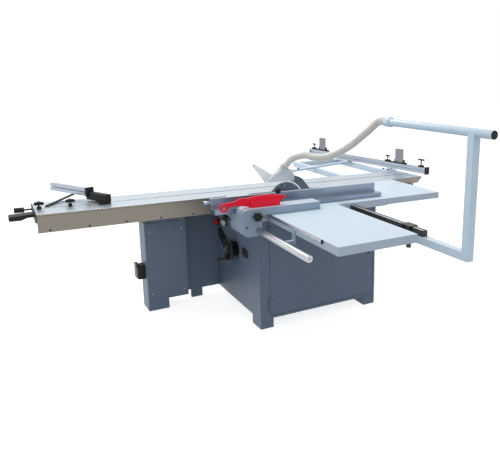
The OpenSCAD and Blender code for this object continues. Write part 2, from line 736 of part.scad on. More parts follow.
// Switch box on the column and the two buttons on the cabinet
box_z = 250;
module switch_base() color("black") {
  block([col_x - 35, col_y0 - 50, box_z], [col_x + 35, col_y0, box_z + 110]);
  for (x = [-38, 26])
    block([col_x + x, col_y0 - 63, box_z + 106], [col_x + x + 12, col_y0 - 40, box_z + 122]);
  bar_x([col_x - 38, lid_y, lid_z], 76, 6);
}
lid_y = col_y0 - 57;
lid_z = box_z + 116;
module switch_lid() color("gray") difference() {
  union() {
    block([col_x - 37, col_y0 - 62, box_z + 10], [col_x + 37, col_y0 - 51, box_z + 102]);
    block([col_x - 25.5, lid_y - 5, box_z + 101], [col_x + 25.5, lid_y + 5, lid_z]);
    bar_x([col_x - 25.5, lid_y, lid_z], 51, 12);
  }
  bar_x([col_x - 40, lid_y, lid_z], 80, 6.2);
}
stem_d = 22;
stop_at = [-372, shelf - 70];
start_at = [-190, shelf - 40];
module button(at, d, h) {
  bar_y([at[0], -cab_y - 14, at[1]], 40, stem_d);
  bar_y([at[0], -cab_y - 14 - h, at[1]], h, d);
}
module stop_button() color("firebrick") button(stop_at, 44, 16);
module start_button() color("beige") button(start_at, 40, 14);

// Trunnions: curved tracks on the front and rear walls, and the cradle that hangs on them
track_r0 = 300;
track_r1 = 330;
track_y = cab_y - sheet - 38;
plate_y0 = track_y - 19;
plate_y1 = track_y - 5;
module both_ends() for (s = [0, 1]) mirror([0, s, 0]) children();
module trunnion_tracks() color("dimgray") both_ends()
  xz(-cab_y + sheet, -track_y) sector(track_r0, track_r1, -50, 40);
bridge_x = [-30, 60];
bridge_z = [arbor_z - 460, arbor_z - 420];
stem_h = table_h - track_r0 - bridge_z[0] - 30;
score_y = blade_y - blade_d / 2 - score_d / 2 - 30;
score_z = table_h + 2 - score_d / 2;
score_arbor = 20;
run = 0.1;
wheel_shaft = 20;
screw_d = 16;
screw_y = blade_y - 122;
module tilt_cradle() color("gray") {
  difference() {
    union() {
      both_ends() {
        xz(-plate_y1, -plate_y0) {
          sector(track_r0 - 20, track_r1 + 20, -4, 38);
          translate([bridge_x[0], bridge_z[0]]) square([bridge_x[1] - bridge_x[0], stem_h]);
        }
        xz(-track_y - 8, -plate_y1) for (r = [track_r0 - 8, track_r1 + clear])
          sector(r, r + 8 - clear, -3, 36);
      }
      block([bridge_x[0], -plate_y0 - 1, bridge_z[0]], [bridge_x[1], plate_y0 + 1, bridge_z[1]]);
      xz(-plate_y1, -plate_y0) sector(track_r0 - 100, track_r0 - 19, 2, 16);
      block([blade_x + 22, -plate_y0 - 1, score_z - 192], [blade_x + 52, score_y + 20, score_z - 144]);
      block([blade_x + 22, score_y - 14, score_z - 146], [blade_x + 52, score_y + 14, score_z]);
      bar_x([blade_x + 10, score_y, score_z], 50, 48);
    }
    bar_x([blade_x, score_y, score_z], 70, score_arbor + run);
    bar_y([wheel_x, -plate_y1 - 1, wheel_z], plate_y1 - plate_y0 + 2, wheel_shaft + run);
    bar_z([wheel_x, screw_y, bridge_z[1] - 28], 29, screw_d + run);
  }
}
rod_d2 = 28;
rod_x = 20;
rod_y = [blade_y - 90, blade_y + 90];
module guide_rods() color("silver") for (y = rod_y)
  bar_z([rod_x, y, bridge_z[1]], car_z1 - 17 - bridge_z[1], rod_d2);

// Rise carriage: block on the rods, arbor housing, motor shelf and arm for the knife
car_z0 = arbor_z - 100;
car_z1 = arbor_z - 38;
knife_t = 2.5;
motor_x = 178;
motor_y = blade_y + 178;
motor_z = arbor_z - 210;
shelf_z = motor_z + motor_d / 2 + 2;
knife_x = blade_x + knife_t / 2;
module rise_carriage() color("dimgray") difference() {
  union() {
    block([-40, screw_y - 25, car_z0], [100, blade_y + 118, car_z1]);
    bar_x([-105, blade_y, arbor_z], 225, 76);
    block([-40, blade_y - 38, car_z1 - 1], [100, blade_y + 38, arbor_z]);
    block([knife_x, blade_y + 158, car_z0 + 15], [-20, blade_y + 208, car_z0 + 50]);
    block([-40, blade_y + 117, car_z0 + 15], [-20, blade_y + 208, car_z0 + 50]);
    block([99, blade_y - 102, shelf_z + 11], [motor_x + motor_l, blade_y - 37, car_z0 + 30]);
    block([motor_x, blade_y - 102, shelf_z], [motor_x + motor_l, motor_y + 70, shelf_z + 12]);
  }
  bar_x([-110, blade_y, arbor_z], 240, arbor_d + run);
  for (y = rod_y) bar_z([rod_x, y, car_z0 - 1], 100, rod_d2 + run);
  bar_z([wheel_x, screw_y, car_z0 - 1], 100, screw_d + run);
}
shaft_d = 28;
module motor() color("gray") difference() {
  union() {
    bar_x([motor_x, motor_y, motor_z], motor_l - 34, motor_d);
    bar_x([motor_x + motor_l - 35, motor_y, motor_z], 35, motor_d - 8);
    block([motor_x + 24, motor_y - 60, motor_z + motor_d / 2 - 25],
      [motor_x + motor_l - 48, motor_y + 60, shelf_z]);
    block([motor_x + 60, motor_y + 70, motor_z - 40], [motor_x + 150, motor_y + 105, motor_z + 40]);
  }
  bar_x([motor_x - 1, motor_y, motor_z], 42, shaft_d + run);
}
pulley_x = [motor_x - 48, motor_x - 18];
pulley_d = 80;
drive_d = 110;
belt_t = 6;
belt_gap = 0.4;
module pulley(y, z, d) {
  bar_x([pulley_x[0], y, z], pulley_x[1] - pulley_x[0], d);
  for (x = [pulley_x[0], pulley_x[1] - 4]) bar_x([x, y, z], 4, d + 16);
}
module motor_pulley() color("silver") {
  pulley(motor_y, motor_z, drive_d);
  bar_x([pulley_x[1] - 1, motor_y, motor_z], motor_x - pulley_x[1] + 38, shaft_d);
}
module belt_line(grow) hull() {
  translate([blade_y, arbor_z]) circle(d = pulley_d + 2 * grow);
  translate([motor_y, motor_z]) circle(d = drive_d + 2 * grow);
}
module drive_belt() color("black") yz(pulley_x[0] + 5, pulley_x[1] - 5) difference() {
  belt_line(belt_gap + belt_t);
  belt_line(belt_gap);
}

// Arbor and the saw blades
plate_k = kerf - 1;
flange_d = 80;
flange_t = 8;
arbor_out = 19;
nut_d = 46;
module arbor() color("silver") {
  bar_x([blade_x - arbor_out, blade_y, arbor_z], pulley_x[1] - blade_x + arbor_out + 2, arbor_d);
  bar_x([blade_x + plate_k / 2, blade_y, arbor_z], 15, flange_d);
  bar_x([blade_x - plate_k / 2 - flange_t, blade_y, arbor_z], flange_t, flange_d);
  bar_x([blade_x - arbor_out + 2, blade_y, arbor_z], arbor_out - 2 - flange_t, nut_d);
  pulley(blade_y, arbor_z, pulley_d);
}
// One tooth is five points from its tip back round the gullet, as radius and share of the pitch
tooth_form = [[0, 0], [-0.8, 0.34], [-6.5, 0.62], [-9.5, 0.78], [-8, 0.93]];
module teeth_outline(d, n) polygon([for (i = [0:n - 1], q = tooth_form)
  (d / 2 + q[0]) * [cos((i + q[1]) * 360 / n), sin((i + q[1]) * 360 / n)]]);
module blade_at(y, z) translate([0, y, z]) children();
tip_l = 7;
tip_w = 2.6;
module main_blade() color("silver") blade_at(blade_y, arbor_z) difference() {
  union() {
    yz(blade_x - plate_k / 2, blade_x + plate_k / 2) teeth_outline(blade_d - 0.6, teeth);
    for (i = [0:teeth - 1]) rotate([i * 360 / teeth, 0, 0])
      block([blade_x - kerf / 2, blade_d / 2 - tip_l, -0.4],
        [blade_x + kerf / 2, blade_d / 2, tip_w - 0.4]);
  }
  bar_x([blade_x - kerf, 0, 0], 2 * kerf, arbor_d + 2 * run);
  for (i = [0:3]) rotate([i * 90 + 3 * 360 / teeth / 4, 0, 0]) {
    block([blade_x - kerf, blade_d / 2 - 36, -0.8], [blade_x + kerf, blade_d / 2, 0.8]);
    bar_x([blade_x - kerf, blade_d / 2 - 36, 0], 2 * kerf, 7);
  }
}
module scoring_blade() color("silver") blade_at(score_y, score_z) {
  yz(blade_x - kerf / 2, blade_x + kerf / 2) teeth_outline(score_d, 20);
  bar_x([blade_x - 12, 0, 0], 80, score_arbor);
  bar_x([blade_x + kerf / 2 - 0.1, 0, 0], 6, 40);
  bar_x([blade_x - 9, 0, 0], 9, 36);
}

// Riving knife behind the blade and the guard that hangs on it
knife_gap = 6;
knife_top = blade_d / 2 + 50;
knife_bolt = [blade_y + 44, arbor_z + 176];
guard_pin = 8;
module riving_knife() color("gray") yz(blade_x - knife_t / 2, knife_x) difference() {
  intersection() {
    translate([blade_y + 32, arbor_z]) circle(r = knife_top, $fn = 96);
    translate([blade_y, arbor_z]) polygon([[162, car_z0 - arbor_z - 5], [206, car_z0 - arbor_z - 5],
      [280, 0], [120, knife_top], [20, knife_top], [20, 100], [80, -40]]);
  }
  translate([blade_y, arbor_z]) circle(r = blade_d / 2 + knife_gap, $fn = 96);
  translate(knife_bolt) circle(d = guard_pin + 2 * run);
}
guard_z = table_h + rise_down + 3;
guard_w = 60;
guard_t = 4;
guard_line = [[-180, 0], [-119, 54], [-52, 92], [14, 102], [44, 88], [62, 50], [66, 0]];
guard_x0 = blade_x - guard_w / 2;
guard_x1 = blade_x + guard_w / 2;
spigot_foot = [blade_x - 14, blade_y - 28, guard_z + 82];
spigot_lean = 45;
spigot_turn = 20;
spigot_l = 56;
spigot_bore = 36;
cuff = 24;
spigot_way = [sin(spigot_lean) * cos(spigot_turn), sin(spigot_lean) * sin(spigot_turn), cos(spigot_lean)];
module guard_shape(in) polygon([for (q = guard_line)
  [blade_y + q[0] + (q[0] > 0 ? -in : in), guard_z + q[1] - in]]);
module spigot_at() translate(spigot_foot) rotate([0, spigot_lean, spigot_turn]) children();
module blade_guard() color("black") {
  difference() {
    union() {
      difference() {
        yz(guard_x0, guard_x1) guard_shape(0);
        yz(guard_x0 + guard_t, guard_x1 - guard_t) guard_shape(guard_t);
      }
      yz(guard_x0, guard_x0 + guard_t) translate([blade_y, guard_z])
        polygon([[-176, 0], [-277, 142], [-262, 152], [-110, 54], [-110, 0]]);
      bar_x([guard_x0, knife_bolt[0], knife_bolt[1]], guard_w, 18);
      spigot_at() cylinder(h = spigot_l, d = hose_d + 10);
    }
    spigot_at() cylinder(h = spigot_l + 1, d = spigot_bore);
    spigot_at() translate([0, 0, spigot_l - cuff]) cylinder(h = cuff + 1, d = hose_d + 2 * clear);
    block([blade_x - knife_t / 2 - clear, blade_y + 10, guard_z - guard_t - 1],
      [knife_x + clear, blade_y + 80, arbor_z + knife_top + 2]);
  }
  bar_x([guard_x0, knife_bolt[0], knife_bolt[1]], guard_w, guard_pin);
}

// Handwheel, its shaft and bevel, and the lead screw it turns
bevel = [12, 24];
apex = [screw_y, wheel_z];
bevel_gap = 0.4;
wheel_y = -cab_y - 56;
rim_d = 24;
rim_r = wheel_d / 2 - rim_d / 2;
hub_d = 64;
crank_a = 255;
module handwheel() color("black") translate([wheel_x, 0, wheel_z]) {
  translate([0, wheel_y, 0]) rotate([90, 0, 0]) {
    rotate_extrude() {
      translate([rim_r, 0]) circle(d = rim_d, $fn = 24);
      polygon([[hub_d / 2 - 2, -22], [rim_r, -8], [rim_r, 2], [hub_d / 2 - 2, -12]]);
    }
    translate([0, 0, -28]) cylinder(h = 50, d = hub_d);
    rotate(crank_a) translate([rim_r, 0, 0]) cylinder(h = 84, d = rim_d);
  }
  bar_y([0, wheel_y + 8, 0], apex[0] - bevel[1] - wheel_y - 7, wheel_shaft);
  translate([0, apex[0] - bevel[1], 0]) rotate([-90, 0, 0])
    cylinder(h = bevel[1] - bevel[0], r1 = bevel[1] - bevel_gap, r2 = bevel[0] - bevel_gap);
}
module lead_screw() color("silver") translate([wheel_x, screw_y, 0]) {
  bar_z([0, 0, bridge_z[1] - 27], car_z1 + 8 - bridge_z[1], screw_d);
  translate([0, 0, apex[1] + bevel[0]])
    cylinder(h = bevel[1] - bevel[0], r1 = bevel[0] - bevel_gap, r2 = bevel[1] - bevel_gap);
}

// Dust hose in two lengths: from the guard to the meeting point, and on to the dust arm
hose_t = 4;
rib = 12;
rib_deep = 3;
hose_gap = 0.5;
hose_up = [spigot_foot + (spigot_l - cuff) * spigot_way, spigot_foot + (spigot_l + hose_d) * spigot_way,
  [85, 48, 1186], [200, 82, 1182]];
hose_on = [[370, 122, 1210], [570, 168, 1305], [740, 210, 1425], [tube_x0 - 60, arm_y, arm_h],
  [tube_x0 + 40, arm_y, arm_h]];
hose_way = concat(hose_up, hose_on);
hose_cut = len(hose_up) - 1;
hose_n = len(hose_way) - 1;
function unit(v) = v / norm(v);
function slope(i) = i == 0 ? hose_way[1] - hose_way[0] : i == hose_n ? hose_way[i] - hose_way[i - 1] :
  i == 1 ? unit(hose_way[1] - hose_way[0]) * norm(hose_way[2] - hose_way[1]) :
  i == hose_n - 1 ? unit(hose_way[i + 1] - hose_way[i]) * norm(hose_way[i] - hose_way[i - 1]) :
  (hose_way[i + 1] - hose_way[i - 1]) / 2;
function span(i) = norm(hose_way[i + 1] - hose_way[i]);
function scaled(i, k) = unit(slope(k)) * span(i);
function at(i, t) = hose_way[i] * (2 * t * t * t - 3 * t * t + 1)
  + scaled(i, i) * (t * t * t - 2 * t * t + t)
  + hose_way[i + 1] * (3 * t * t - 2 * t * t * t) + scaled(i, i + 1) * (t * t * t - t * t);
function along(i, t) = t == 0 ? unit(slope(i)) : t == 1 ? unit(slope(i + 1)) :
  unit(at(i, t + 0.01) - at(i, t - 0.01));
function side(d) = unit(cross(cross(d, [-0.22, 0.975, 0]), d));
function ring(p, d, r) = let (a = side(d), b = cross(d, a))
  [for (k = [0:7]) p + r * (a * cos(k * 45) + b * sin(k * 45))];
function steps(i) = 2 * max(1, round(span(i) / rib));
module hose(from, to) {
  start = from == hose_cut ? hose_gap / span(from) : 0;
  stations = [for (i = [from:to - 1], j = [0:steps(i) - 1]) [i, i == from && j == 0 ? start : j / steps(i)]];
  last = [to - 1, 1];
  all = concat(stations, [last]);
  n = len(all);
  inner = concat([for (k = [0:6:n - 2]) k], [n - 1]);
  m = len(inner);
  outer_pts = [for (k = [0:n - 1]) each ring(at(all[k][0], all[k][1]), along(all[k][0], all[k][1]),
    hose_d / 2 - (k % 2 == 1 && k < n - 1 ? rib_deep : 0))];
  inner_pts = [for (k = inner) each ring(at(all[k][0], all[k][1]), along(all[k][0], all[k][1]),
    hose_d / 2 - rib_deep - hose_t)];
  o = 8 * n;
  e = 8 * (n - 1);
  f = o + 8 * (m - 1);
  quads = concat(
    [for (k = [0:n - 2], s = [0:7], c = 8 * k, w = (s + 1) % 8) [c + s, c + w, c + 8 + w, c + 8 + s]],
    [for (k = [0:m - 2], s = [0:7], c = o + 8 * k, w = (s + 1) % 8) [c + 8 + s, c + 8 + w, c + w, c + s]],
    [for (s = [0:7], w = (s + 1) % 8) [s, o + s, o + w, w]],
    [for (s = [0:7], w = (s + 1) % 8) [e + w, f + w, f + s, e + s]]);
  tris = [for (q = quads) each [[q[0], q[2], q[1]], [q[0], q[3], q[2]]]];
  polyhedron(concat(outer_pts, inner_pts), tris);
}
module hose_lower() color("gray") hose(0, hose_cut);
module hose_upper() color("gray") hose(hose_cut, hose_n);

cabinet_shell();
cabinet_right();
door();
feet();
column();
fixed_beam();
main_table();
rear_table();
right_table();
table_insert();
round_bar();
bar_brackets();
scale_rail();
switch_base();
switch_lid();
stop_button();
start_button();
trunnion_tracks();
arm_rail();
dust_arm();
arm_tube();
hose_upper();
sliding_table();
table_ends();
push_handle();
lock_knob();
tee_knob_front();
tee_knob_rear();
mitre_base();
mitre_block();
mitre_fence();
roller_cage();
outrigger_frame();
crosscut_fence();
fence_caps();
stop_near();
stop_near_flap();
stop_far();
stop_far_flap();
rip_carrier();
carrier_lever();
star_knob();
rip_fence();
fence_clamp();
stick_holder();
push_stick();
tilt_cradle();
guide_rods();
rise_carriage();
motor();
motor_pulley();
drive_belt();
arbor();
main_blade();
riving_knife();
blade_guard();
hose_lower();
scoring_blade();
handwheel();
lead_screw();
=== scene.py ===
"""Dresses the sliding table saw's CAD solids: finishes, dust hose, small fittings, light and camera."""

import json
import math

import bmesh
import bpy
from mathutils import Matrix, Vector


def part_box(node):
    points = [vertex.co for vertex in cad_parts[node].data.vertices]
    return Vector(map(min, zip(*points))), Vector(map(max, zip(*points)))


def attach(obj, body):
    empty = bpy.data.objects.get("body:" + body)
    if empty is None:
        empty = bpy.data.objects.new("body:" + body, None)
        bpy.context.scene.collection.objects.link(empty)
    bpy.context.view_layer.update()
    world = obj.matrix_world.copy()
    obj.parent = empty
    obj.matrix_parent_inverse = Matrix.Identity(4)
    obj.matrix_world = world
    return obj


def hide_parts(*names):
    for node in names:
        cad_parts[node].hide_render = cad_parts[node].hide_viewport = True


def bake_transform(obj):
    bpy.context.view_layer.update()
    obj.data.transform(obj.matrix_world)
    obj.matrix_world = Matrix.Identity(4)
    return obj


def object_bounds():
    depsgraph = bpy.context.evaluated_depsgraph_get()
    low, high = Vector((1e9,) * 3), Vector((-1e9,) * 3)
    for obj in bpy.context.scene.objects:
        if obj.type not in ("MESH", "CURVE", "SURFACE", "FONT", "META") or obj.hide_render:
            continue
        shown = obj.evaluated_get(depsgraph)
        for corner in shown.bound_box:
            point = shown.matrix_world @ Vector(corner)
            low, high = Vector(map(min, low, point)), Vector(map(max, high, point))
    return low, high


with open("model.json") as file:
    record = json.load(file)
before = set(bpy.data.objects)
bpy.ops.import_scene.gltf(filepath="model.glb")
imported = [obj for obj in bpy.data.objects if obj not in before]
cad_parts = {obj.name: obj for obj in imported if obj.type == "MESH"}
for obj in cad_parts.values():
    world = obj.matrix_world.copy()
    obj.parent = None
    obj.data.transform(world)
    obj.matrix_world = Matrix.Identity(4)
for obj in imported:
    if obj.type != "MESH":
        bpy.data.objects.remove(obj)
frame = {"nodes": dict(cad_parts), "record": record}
CAD_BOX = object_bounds()

bl_info = {
    "name": "Sliding Table Saw",
    "version": (1, 0, 0),
    "blender": (4, 2, 0),
    "location": "3D View > Sidebar > Table Saw",
    "description": "Finishes, hose, fittings and studio for a sliding table saw",
    "category": "Object",
}

MM = 0.001


def linear(hex_colour):
    """Linear RGBA from an sRGB hex colour such as #8090a0."""
    parts = [int(hex_colour[i:i + 2], 16) / 255 for i in (1, 3, 5)]
    return [p / 12.92 if p <= 0.04045 else ((p + 0.055) / 1.055) ** 2.4 for p in parts] + [1.0]


def add_node(tree, kind, settings=None, **inputs):
    """Add a shader node; an input is a value, or a socket to link.

    An input is named with underscores for its spaces, or by i and its number.
    """
    node = tree.nodes.new(kind)
    for name, value in (settings or {}).items():
        setattr(node, name, value)
    for name, value in inputs.items():
        key = int(name[1:]) if name[1:].isdigit() else name.replace("_", " ")
        socket = node.inputs[key]
        if isinstance(value, bpy.types.NodeSocket):
            tree.links.new(value, socket)
        else:
            socket.default_value = value
    return node


def new_material(name, **shader_inputs):
    """A new material, its tree, its one Principled shader and its object coordinates."""
    material = bpy.data.materials.new(name)
    material.use_nodes = True
    tree = material.node_tree
    tree.nodes.clear()
    shader = add_node(tree, "ShaderNodeBsdfPrincipled", **shader_inputs)
    add_node(tree, "ShaderNodeOutputMaterial", Surface=shader.outputs[0])
    place = add_node(tree, "ShaderNodeTexCoord").outputs["Object"]
    return material, tree, shader, place


def per_metre(size_mm):
    """Noise scale that gives grains of this size in millimetres."""
    return 1 / (size_mm * MM)


def stretched(tree, place, x, y, z):
    """Coordinates scaled along each axis, for grain that runs one way."""
    return add_node(tree, "ShaderNodeMapping", Vector=place, Scale=(x, y, z)).outputs[0]


def mix(tree, factor, first, second):
    """Mix two colours by a factor; a colour is sRGB hex or a socket."""
    node = add_node(tree, "ShaderNodeMix", {"data_type": "RGBA"}, Factor=factor)
    for socket, colour in ((node.inputs[6], first), (node.inputs[7], second)):
        if isinstance(colour, str):
            socket.default_value = linear(colour)
        else:
            tree.links.new(colour, socket)
    return node.outputs[2]


def spread(tree, value, low, high):
    """Map a value from 0 to 1 onto the range from low to high."""
    return add_node(tree, "ShaderNodeMapRange", Value=value, To_Min=low, To_Max=high).outputs[0]


def vary(tree, shader, place, grain_mm, colours, roughness, bump=0.0, depth_mm=0.1, detail=3.0):
    """Let one noise shift colour and roughness between two values, and raise a bump."""
    grains = add_node(tree, "ShaderNodeTexNoise", Vector=place, Scale=per_metre(grain_mm), Detail=detail)
    noise = grains.outputs[0]
    tree.links.new(mix(tree, noise, *colours), shader.inputs["Base Color"])
    tree.links.new(spread(tree, noise, *roughness), shader.inputs["Roughness"])
    if bump:
        raised = add_node(tree, "ShaderNodeBump", Height=noise, Strength=bump, Distance=depth_mm * MM)
        tree.links.new(raised.outputs[0], shader.inputs["Normal"])


# Least Z in the normal of a face that looks up
LOOKS_UP = 0.7


def tops_only(tree, shader, side_colour):
    """Keep the shader's colour on faces that look up, and give the other faces their own: a darker colour
    that paints shade on the sides.
    """
    top = shader.inputs["Base Color"].links[0].from_socket
    normal = add_node(tree, "ShaderNodeNewGeometry").outputs["Normal"]
    level = add_node(tree, "ShaderNodeSeparateXYZ", Vector=normal).outputs[2]
    is_top = add_node(tree, "ShaderNodeMath", {"operation": "GREATER_THAN"}, i0=level, i1=LOOKS_UP)
    tree.links.new(mix(tree, is_top.outputs[0], side_colour, top), shader.inputs["Base Color"])


class SawFinishSettings(bpy.types.PropertyGroup):
    """Colours of the saw's finishes, and the round of its edges."""
    paint: bpy.props.StringProperty(name="Cabinet paint", description="sRGB hex of the cabinet's paint",
                                    default="#66778b")
    table: bpy.props.StringProperty(name="Table tops", description="sRGB hex of the ground table tops",
                                    default="#d2e3f0")
    stick: bpy.props.StringProperty(name="Push stick", description="sRGB hex of the push stick",
                                    default="#f81f3e")
    edge: bpy.props.FloatProperty(name="Edge round", description="Round on the edges of the CAD solids",
                                  default=1.2 * MM, min=0.0, max=5 * MM, subtype="DISTANCE", unit="LENGTH")


class SawHoseSettings(bpy.types.PropertyGroup):
    """Sizes of the dust hose."""
    diameter: bpy.props.FloatProperty(name="Diameter", description="Outer diameter of the hose over its ribs",
                                      default=56 * MM, min=0.04, max=0.08, subtype="DISTANCE", unit="LENGTH")
    pitch: bpy.props.FloatProperty(name="Rib pitch", description="Distance from one rib to the next",
                                   default=18 * MM, min=0.005, max=0.03, subtype="DISTANCE", unit="LENGTH")
    rib: bpy.props.FloatProperty(name="Rib depth", description="How far the ribs stand out",
                                 default=5 * MM, min=0.001, max=0.006, subtype="DISTANCE", unit="LENGTH")


class SawStageSettings(bpy.types.PropertyGroup):
    """Floor and light of the studio."""
    floor: bpy.props.StringProperty(name="Floor", description="sRGB hex of the floor", default="#aeb2b6")
    glow: bpy.props.FloatProperty(name="Floor glow", description="Extra white of the floor where it is seen",
                                  default=0.82, min=0.0, max=1.0)
    ambient: bpy.props.FloatProperty(name="Ambient", description="Strength of the light from all round",
                                     default=0.78, min=0.0, max=1.0)
    key: bpy.props.FloatProperty(name="Key light", description="Power of the overhead light", default=80.0,
                                 min=0.0, subtype="POWER", unit="POWER")


def powder_coat():
    """Blue-grey powder coat on sheet steel: an even satin skin with a fine orange peel."""
    settings = bpy.context.scene.saw_finish
    material, tree, shader, place = new_material("powder_coated_steel", Metallic=0.0, IOR=1.5)
    vary(tree, shader, place, 3.5, (settings.paint, "#5e6f83"), (0.38, 0.5), 0.12, 0.3)
    return material


def pale_enamel():
    """Pale grey enamel on tube: smoother and glossier than the cabinet's coat."""
    material, tree, shader, place = new_material("enamelled_tube", Metallic=0.0, IOR=1.5)
    vary(tree, shader, place, 60, ("#d3e5f3", "#c9ddee"), (0.28, 0.4), 0.05, 0.2)
    return material


def cast_enamel():
    """Pale grey enamel on the fence carrier's casting: the sand's grain shows faintly through it, and its
    sides are painted darker as painted shade.
    """
    material, tree, shader, place = new_material("enamelled_casting", Metallic=0.0, IOR=1.5)
    vary(tree, shader, place, 5, ("#c3cfdc", "#b8c6d5"), (0.36, 0.5), 0.18, 0.4)
    # Side faces get a darker colour as painted shade
    tops_only(tree, shader, "#92a4b8")
    return material


def ground_iron():
    """Iron tables: pale satin tops with fine lines along the feed, sides in grey primer, drawn darker than
    the tops partly as painted shade.
    """
    settings = bpy.context.scene.saw_finish
    material, tree, shader, place = new_material("ground_iron", Metallic=0.0, IOR=1.6)
    along = stretched(tree, place, 1, 0.02, 1)
    vary(tree, shader, along, 4, (settings.table, "#c8d9e7"), (0.34, 0.48), 0.08, 0.1)
    # Side faces: grey primer, darkened partly as painted shade
    tops_only(tree, shader, "#b4c3d3")
    return material


def anodised():
    """Satin anodised extrusion: die lines run along the length."""
    material, tree, shader, place = new_material("anodised_aluminium", Metallic=1.0)
    along = stretched(tree, place, 1, 0.01, 1)
    vary(tree, shader, along, 3, ("#b1bac4", "#a4aeb9"), (0.28, 0.42), 0.06, 0.1)
    return material


def aluminium_painted_side_shade():
    """Table, beam and apron: tops brushed bright along the feed, sides painted darker and warmer as painted
    shade and a painted reflection of brown ground.
    """
    material, tree, shader, place = new_material("aluminium_painted_side_shade", Metallic=1.0)
    along = stretched(tree, place, 1, 0.01, 1)
    vary(tree, shader, along, 3, ("#cdd7df", "#c0cbd4"), (0.3, 0.44), 0.06, 0.1)
    # Side faces get a darker, warmer colour: painted shade and a painted reflection of brown ground
    tops_only(tree, shader, "#878178")
    return material


def fence_aluminium():
    """Rip fence extrusion: bluish anodised sides, painted darker than the top as painted shade."""
    material, tree, shader, place = new_material("fence_aluminium", Metallic=1.0)
    along = stretched(tree, place, 1, 0.01, 1)
    vary(tree, shader, along, 3, ("#c3cad2", "#b2bac4"), (0.26, 0.38), 0.06, 0.1)
    # Side faces get a darker colour as painted shade
    tops_only(tree, shader, "#8795a8")
    return material


def turned_steel():
    """Bright turned or rolled steel, with faint streaks."""
    material, tree, shader, place = new_material("turned_steel", Metallic=1.0)
    vary(tree, shader, stretched(tree, place, 0.01, 1, 1), 8, ("#c2c5c9", "#b4b8bd"), (0.26, 0.36))
    return material


def blade_steel():
    """Ground saw plate: faint rings about the arbor."""
    low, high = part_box("main_blade")
    material, tree, shader, place = new_material("ground_saw_plate", Metallic=1.0)
    moved = add_node(tree, "ShaderNodeMapping", Vector=place, Location=-(low + high) / 2).outputs[0]
    rings = add_node(tree, "ShaderNodeTexWave", {"wave_type": "RINGS", "rings_direction": "X"}, Vector=moved,
                     Scale=per_metre(40), Distortion=1.5, Detail=3.0).outputs["Fac"]
    tree.links.new(mix(tree, rings, "#747c86", "#626a74"), shader.inputs["Base Color"])
    tree.links.new(spread(tree, rings, 0.3, 0.42), shader.inputs["Roughness"])
    return material


def black_nylon():
    """Glass-filled nylon of the knobs: dull black with a fine spark texture."""
    material, tree, shader, place = new_material("black_nylon", Metallic=0.0, IOR=1.53,
                                                 Specular_IOR_Level=0.25)
    vary(tree, shader, place, 2, ("#141517", "#1c1e20"), (0.42, 0.58), 0.1, 0.15)
    return material


def black_enamel():
    """Black enamel on steel."""
    material, tree, shader, place = new_material("black_enamel", Metallic=0.0, IOR=1.5)
    vary(tree, shader, place, 40, ("#202124", "#2a2c2f"), (0.3, 0.42), 0.05, 0.2)
    return material


def raw_casting():
    """Sand-cast iron: dark, rough and grainy."""
    material, tree, shader, place = new_material("raw_iron_casting", Metallic=0.5)
    vary(tree, shader, place, 3, ("#4a4c50", "#3a3c40"), (0.55, 0.75), 0.3, 0.4)
    return material


def grey_enamel():
    """Grey enamel on the flip stops' flaps: flat and a little dusty."""
    material, tree, shader, place = new_material("grey_enamel", Metallic=0.0, IOR=1.5)
    vary(tree, shader, place, 8, ("#96959c", "#8b8a92"), (0.4, 0.55), 0.06, 0.2)
    return material


def grey_abs():
    """Moulded grey ABS."""
    material, tree, shader, place = new_material("grey_abs", Metallic=0.0, IOR=1.54)
    vary(tree, shader, place, 2.5, ("#55585c", "#5e6165"), (0.4, 0.52), 0.06, 0.1)
    return material


def ivory_abs():
    """Moulded ivory ABS of the start button."""
    material, tree, shader, place = new_material("ivory_abs", Metallic=0.0, IOR=1.54)
    vary(tree, shader, place, 3, ("#e9e2cf", "#ddd5c0"), (0.3, 0.42), 0.05, 0.1)
    return material


def red_pvc():
    """Moulded red plastic with a soft gloss."""
    settings = bpy.context.scene.saw_finish
    material, tree, shader, place = new_material("red_moulded_plastic", Metallic=0.0, IOR=1.5,
                                                 Specular_IOR_Level=0.2)
    vary(tree, shader, place, 25, (settings.stick, "#ea1b37"), (0.25, 0.38), 0.04, 0.2)
    return material


def belt_rubber():
    """Drive belt rubber: matt, dusty black."""
    material, tree, shader, place = new_material("belt_rubber", Metallic=0.0, IOR=1.52)
    vary(tree, shader, place, 6, ("#1d1d1e", "#2a2a2b"), (0.75, 0.9), 0.15, 0.2)
    return material


def cloudy_acrylic():
    """Blade guard in cloudy acrylic: pale, half clear, scuffed inside."""
    material, tree, shader, place = new_material("cloudy_acrylic", Metallic=0.0, IOR=1.49,
                                                 Transmission_Weight=0.5)
    vary(tree, shader, place, 30, ("#f6f9fb", "#edf2f6"), (0.3, 0.45), 0.03, 0.2)
    return material


def lamp_lens():
    """Pale moulded lens of the pilot lamp, slightly cloudy."""
    material, tree, shader, place = new_material("lamp_lens", Metallic=0.0, IOR=1.5)
    vary(tree, shader, place, 4, ("#dfe3e2", "#cfd5d4"), (0.18, 0.3), 0.05, 0.1)
    return material


def hose_vinyl():
    """Soft vinyl of the hose: off-white, darker in the grooves between its ribs as painted shade."""
    material, tree, shader, place = new_material("hose_vinyl", Metallic=0.0, IOR=1.52)
    vary(tree, shader, place, 18, ("#fbfaf4", "#f1f0e8"), (0.42, 0.55), 0.05, 0.3)
    unshaded_vinyl = shader.inputs["Base Color"].links[0].from_socket
    groove = add_node(tree, "ShaderNodeAttribute", {"attribute_name": "groove"}).outputs["Fac"]
    # The groove attribute mixes in painted shade between the ribs
    tree.links.new(mix(tree, groove, unshaded_vinyl, "#8f8c82"), shader.inputs["Base Color"])
    return material


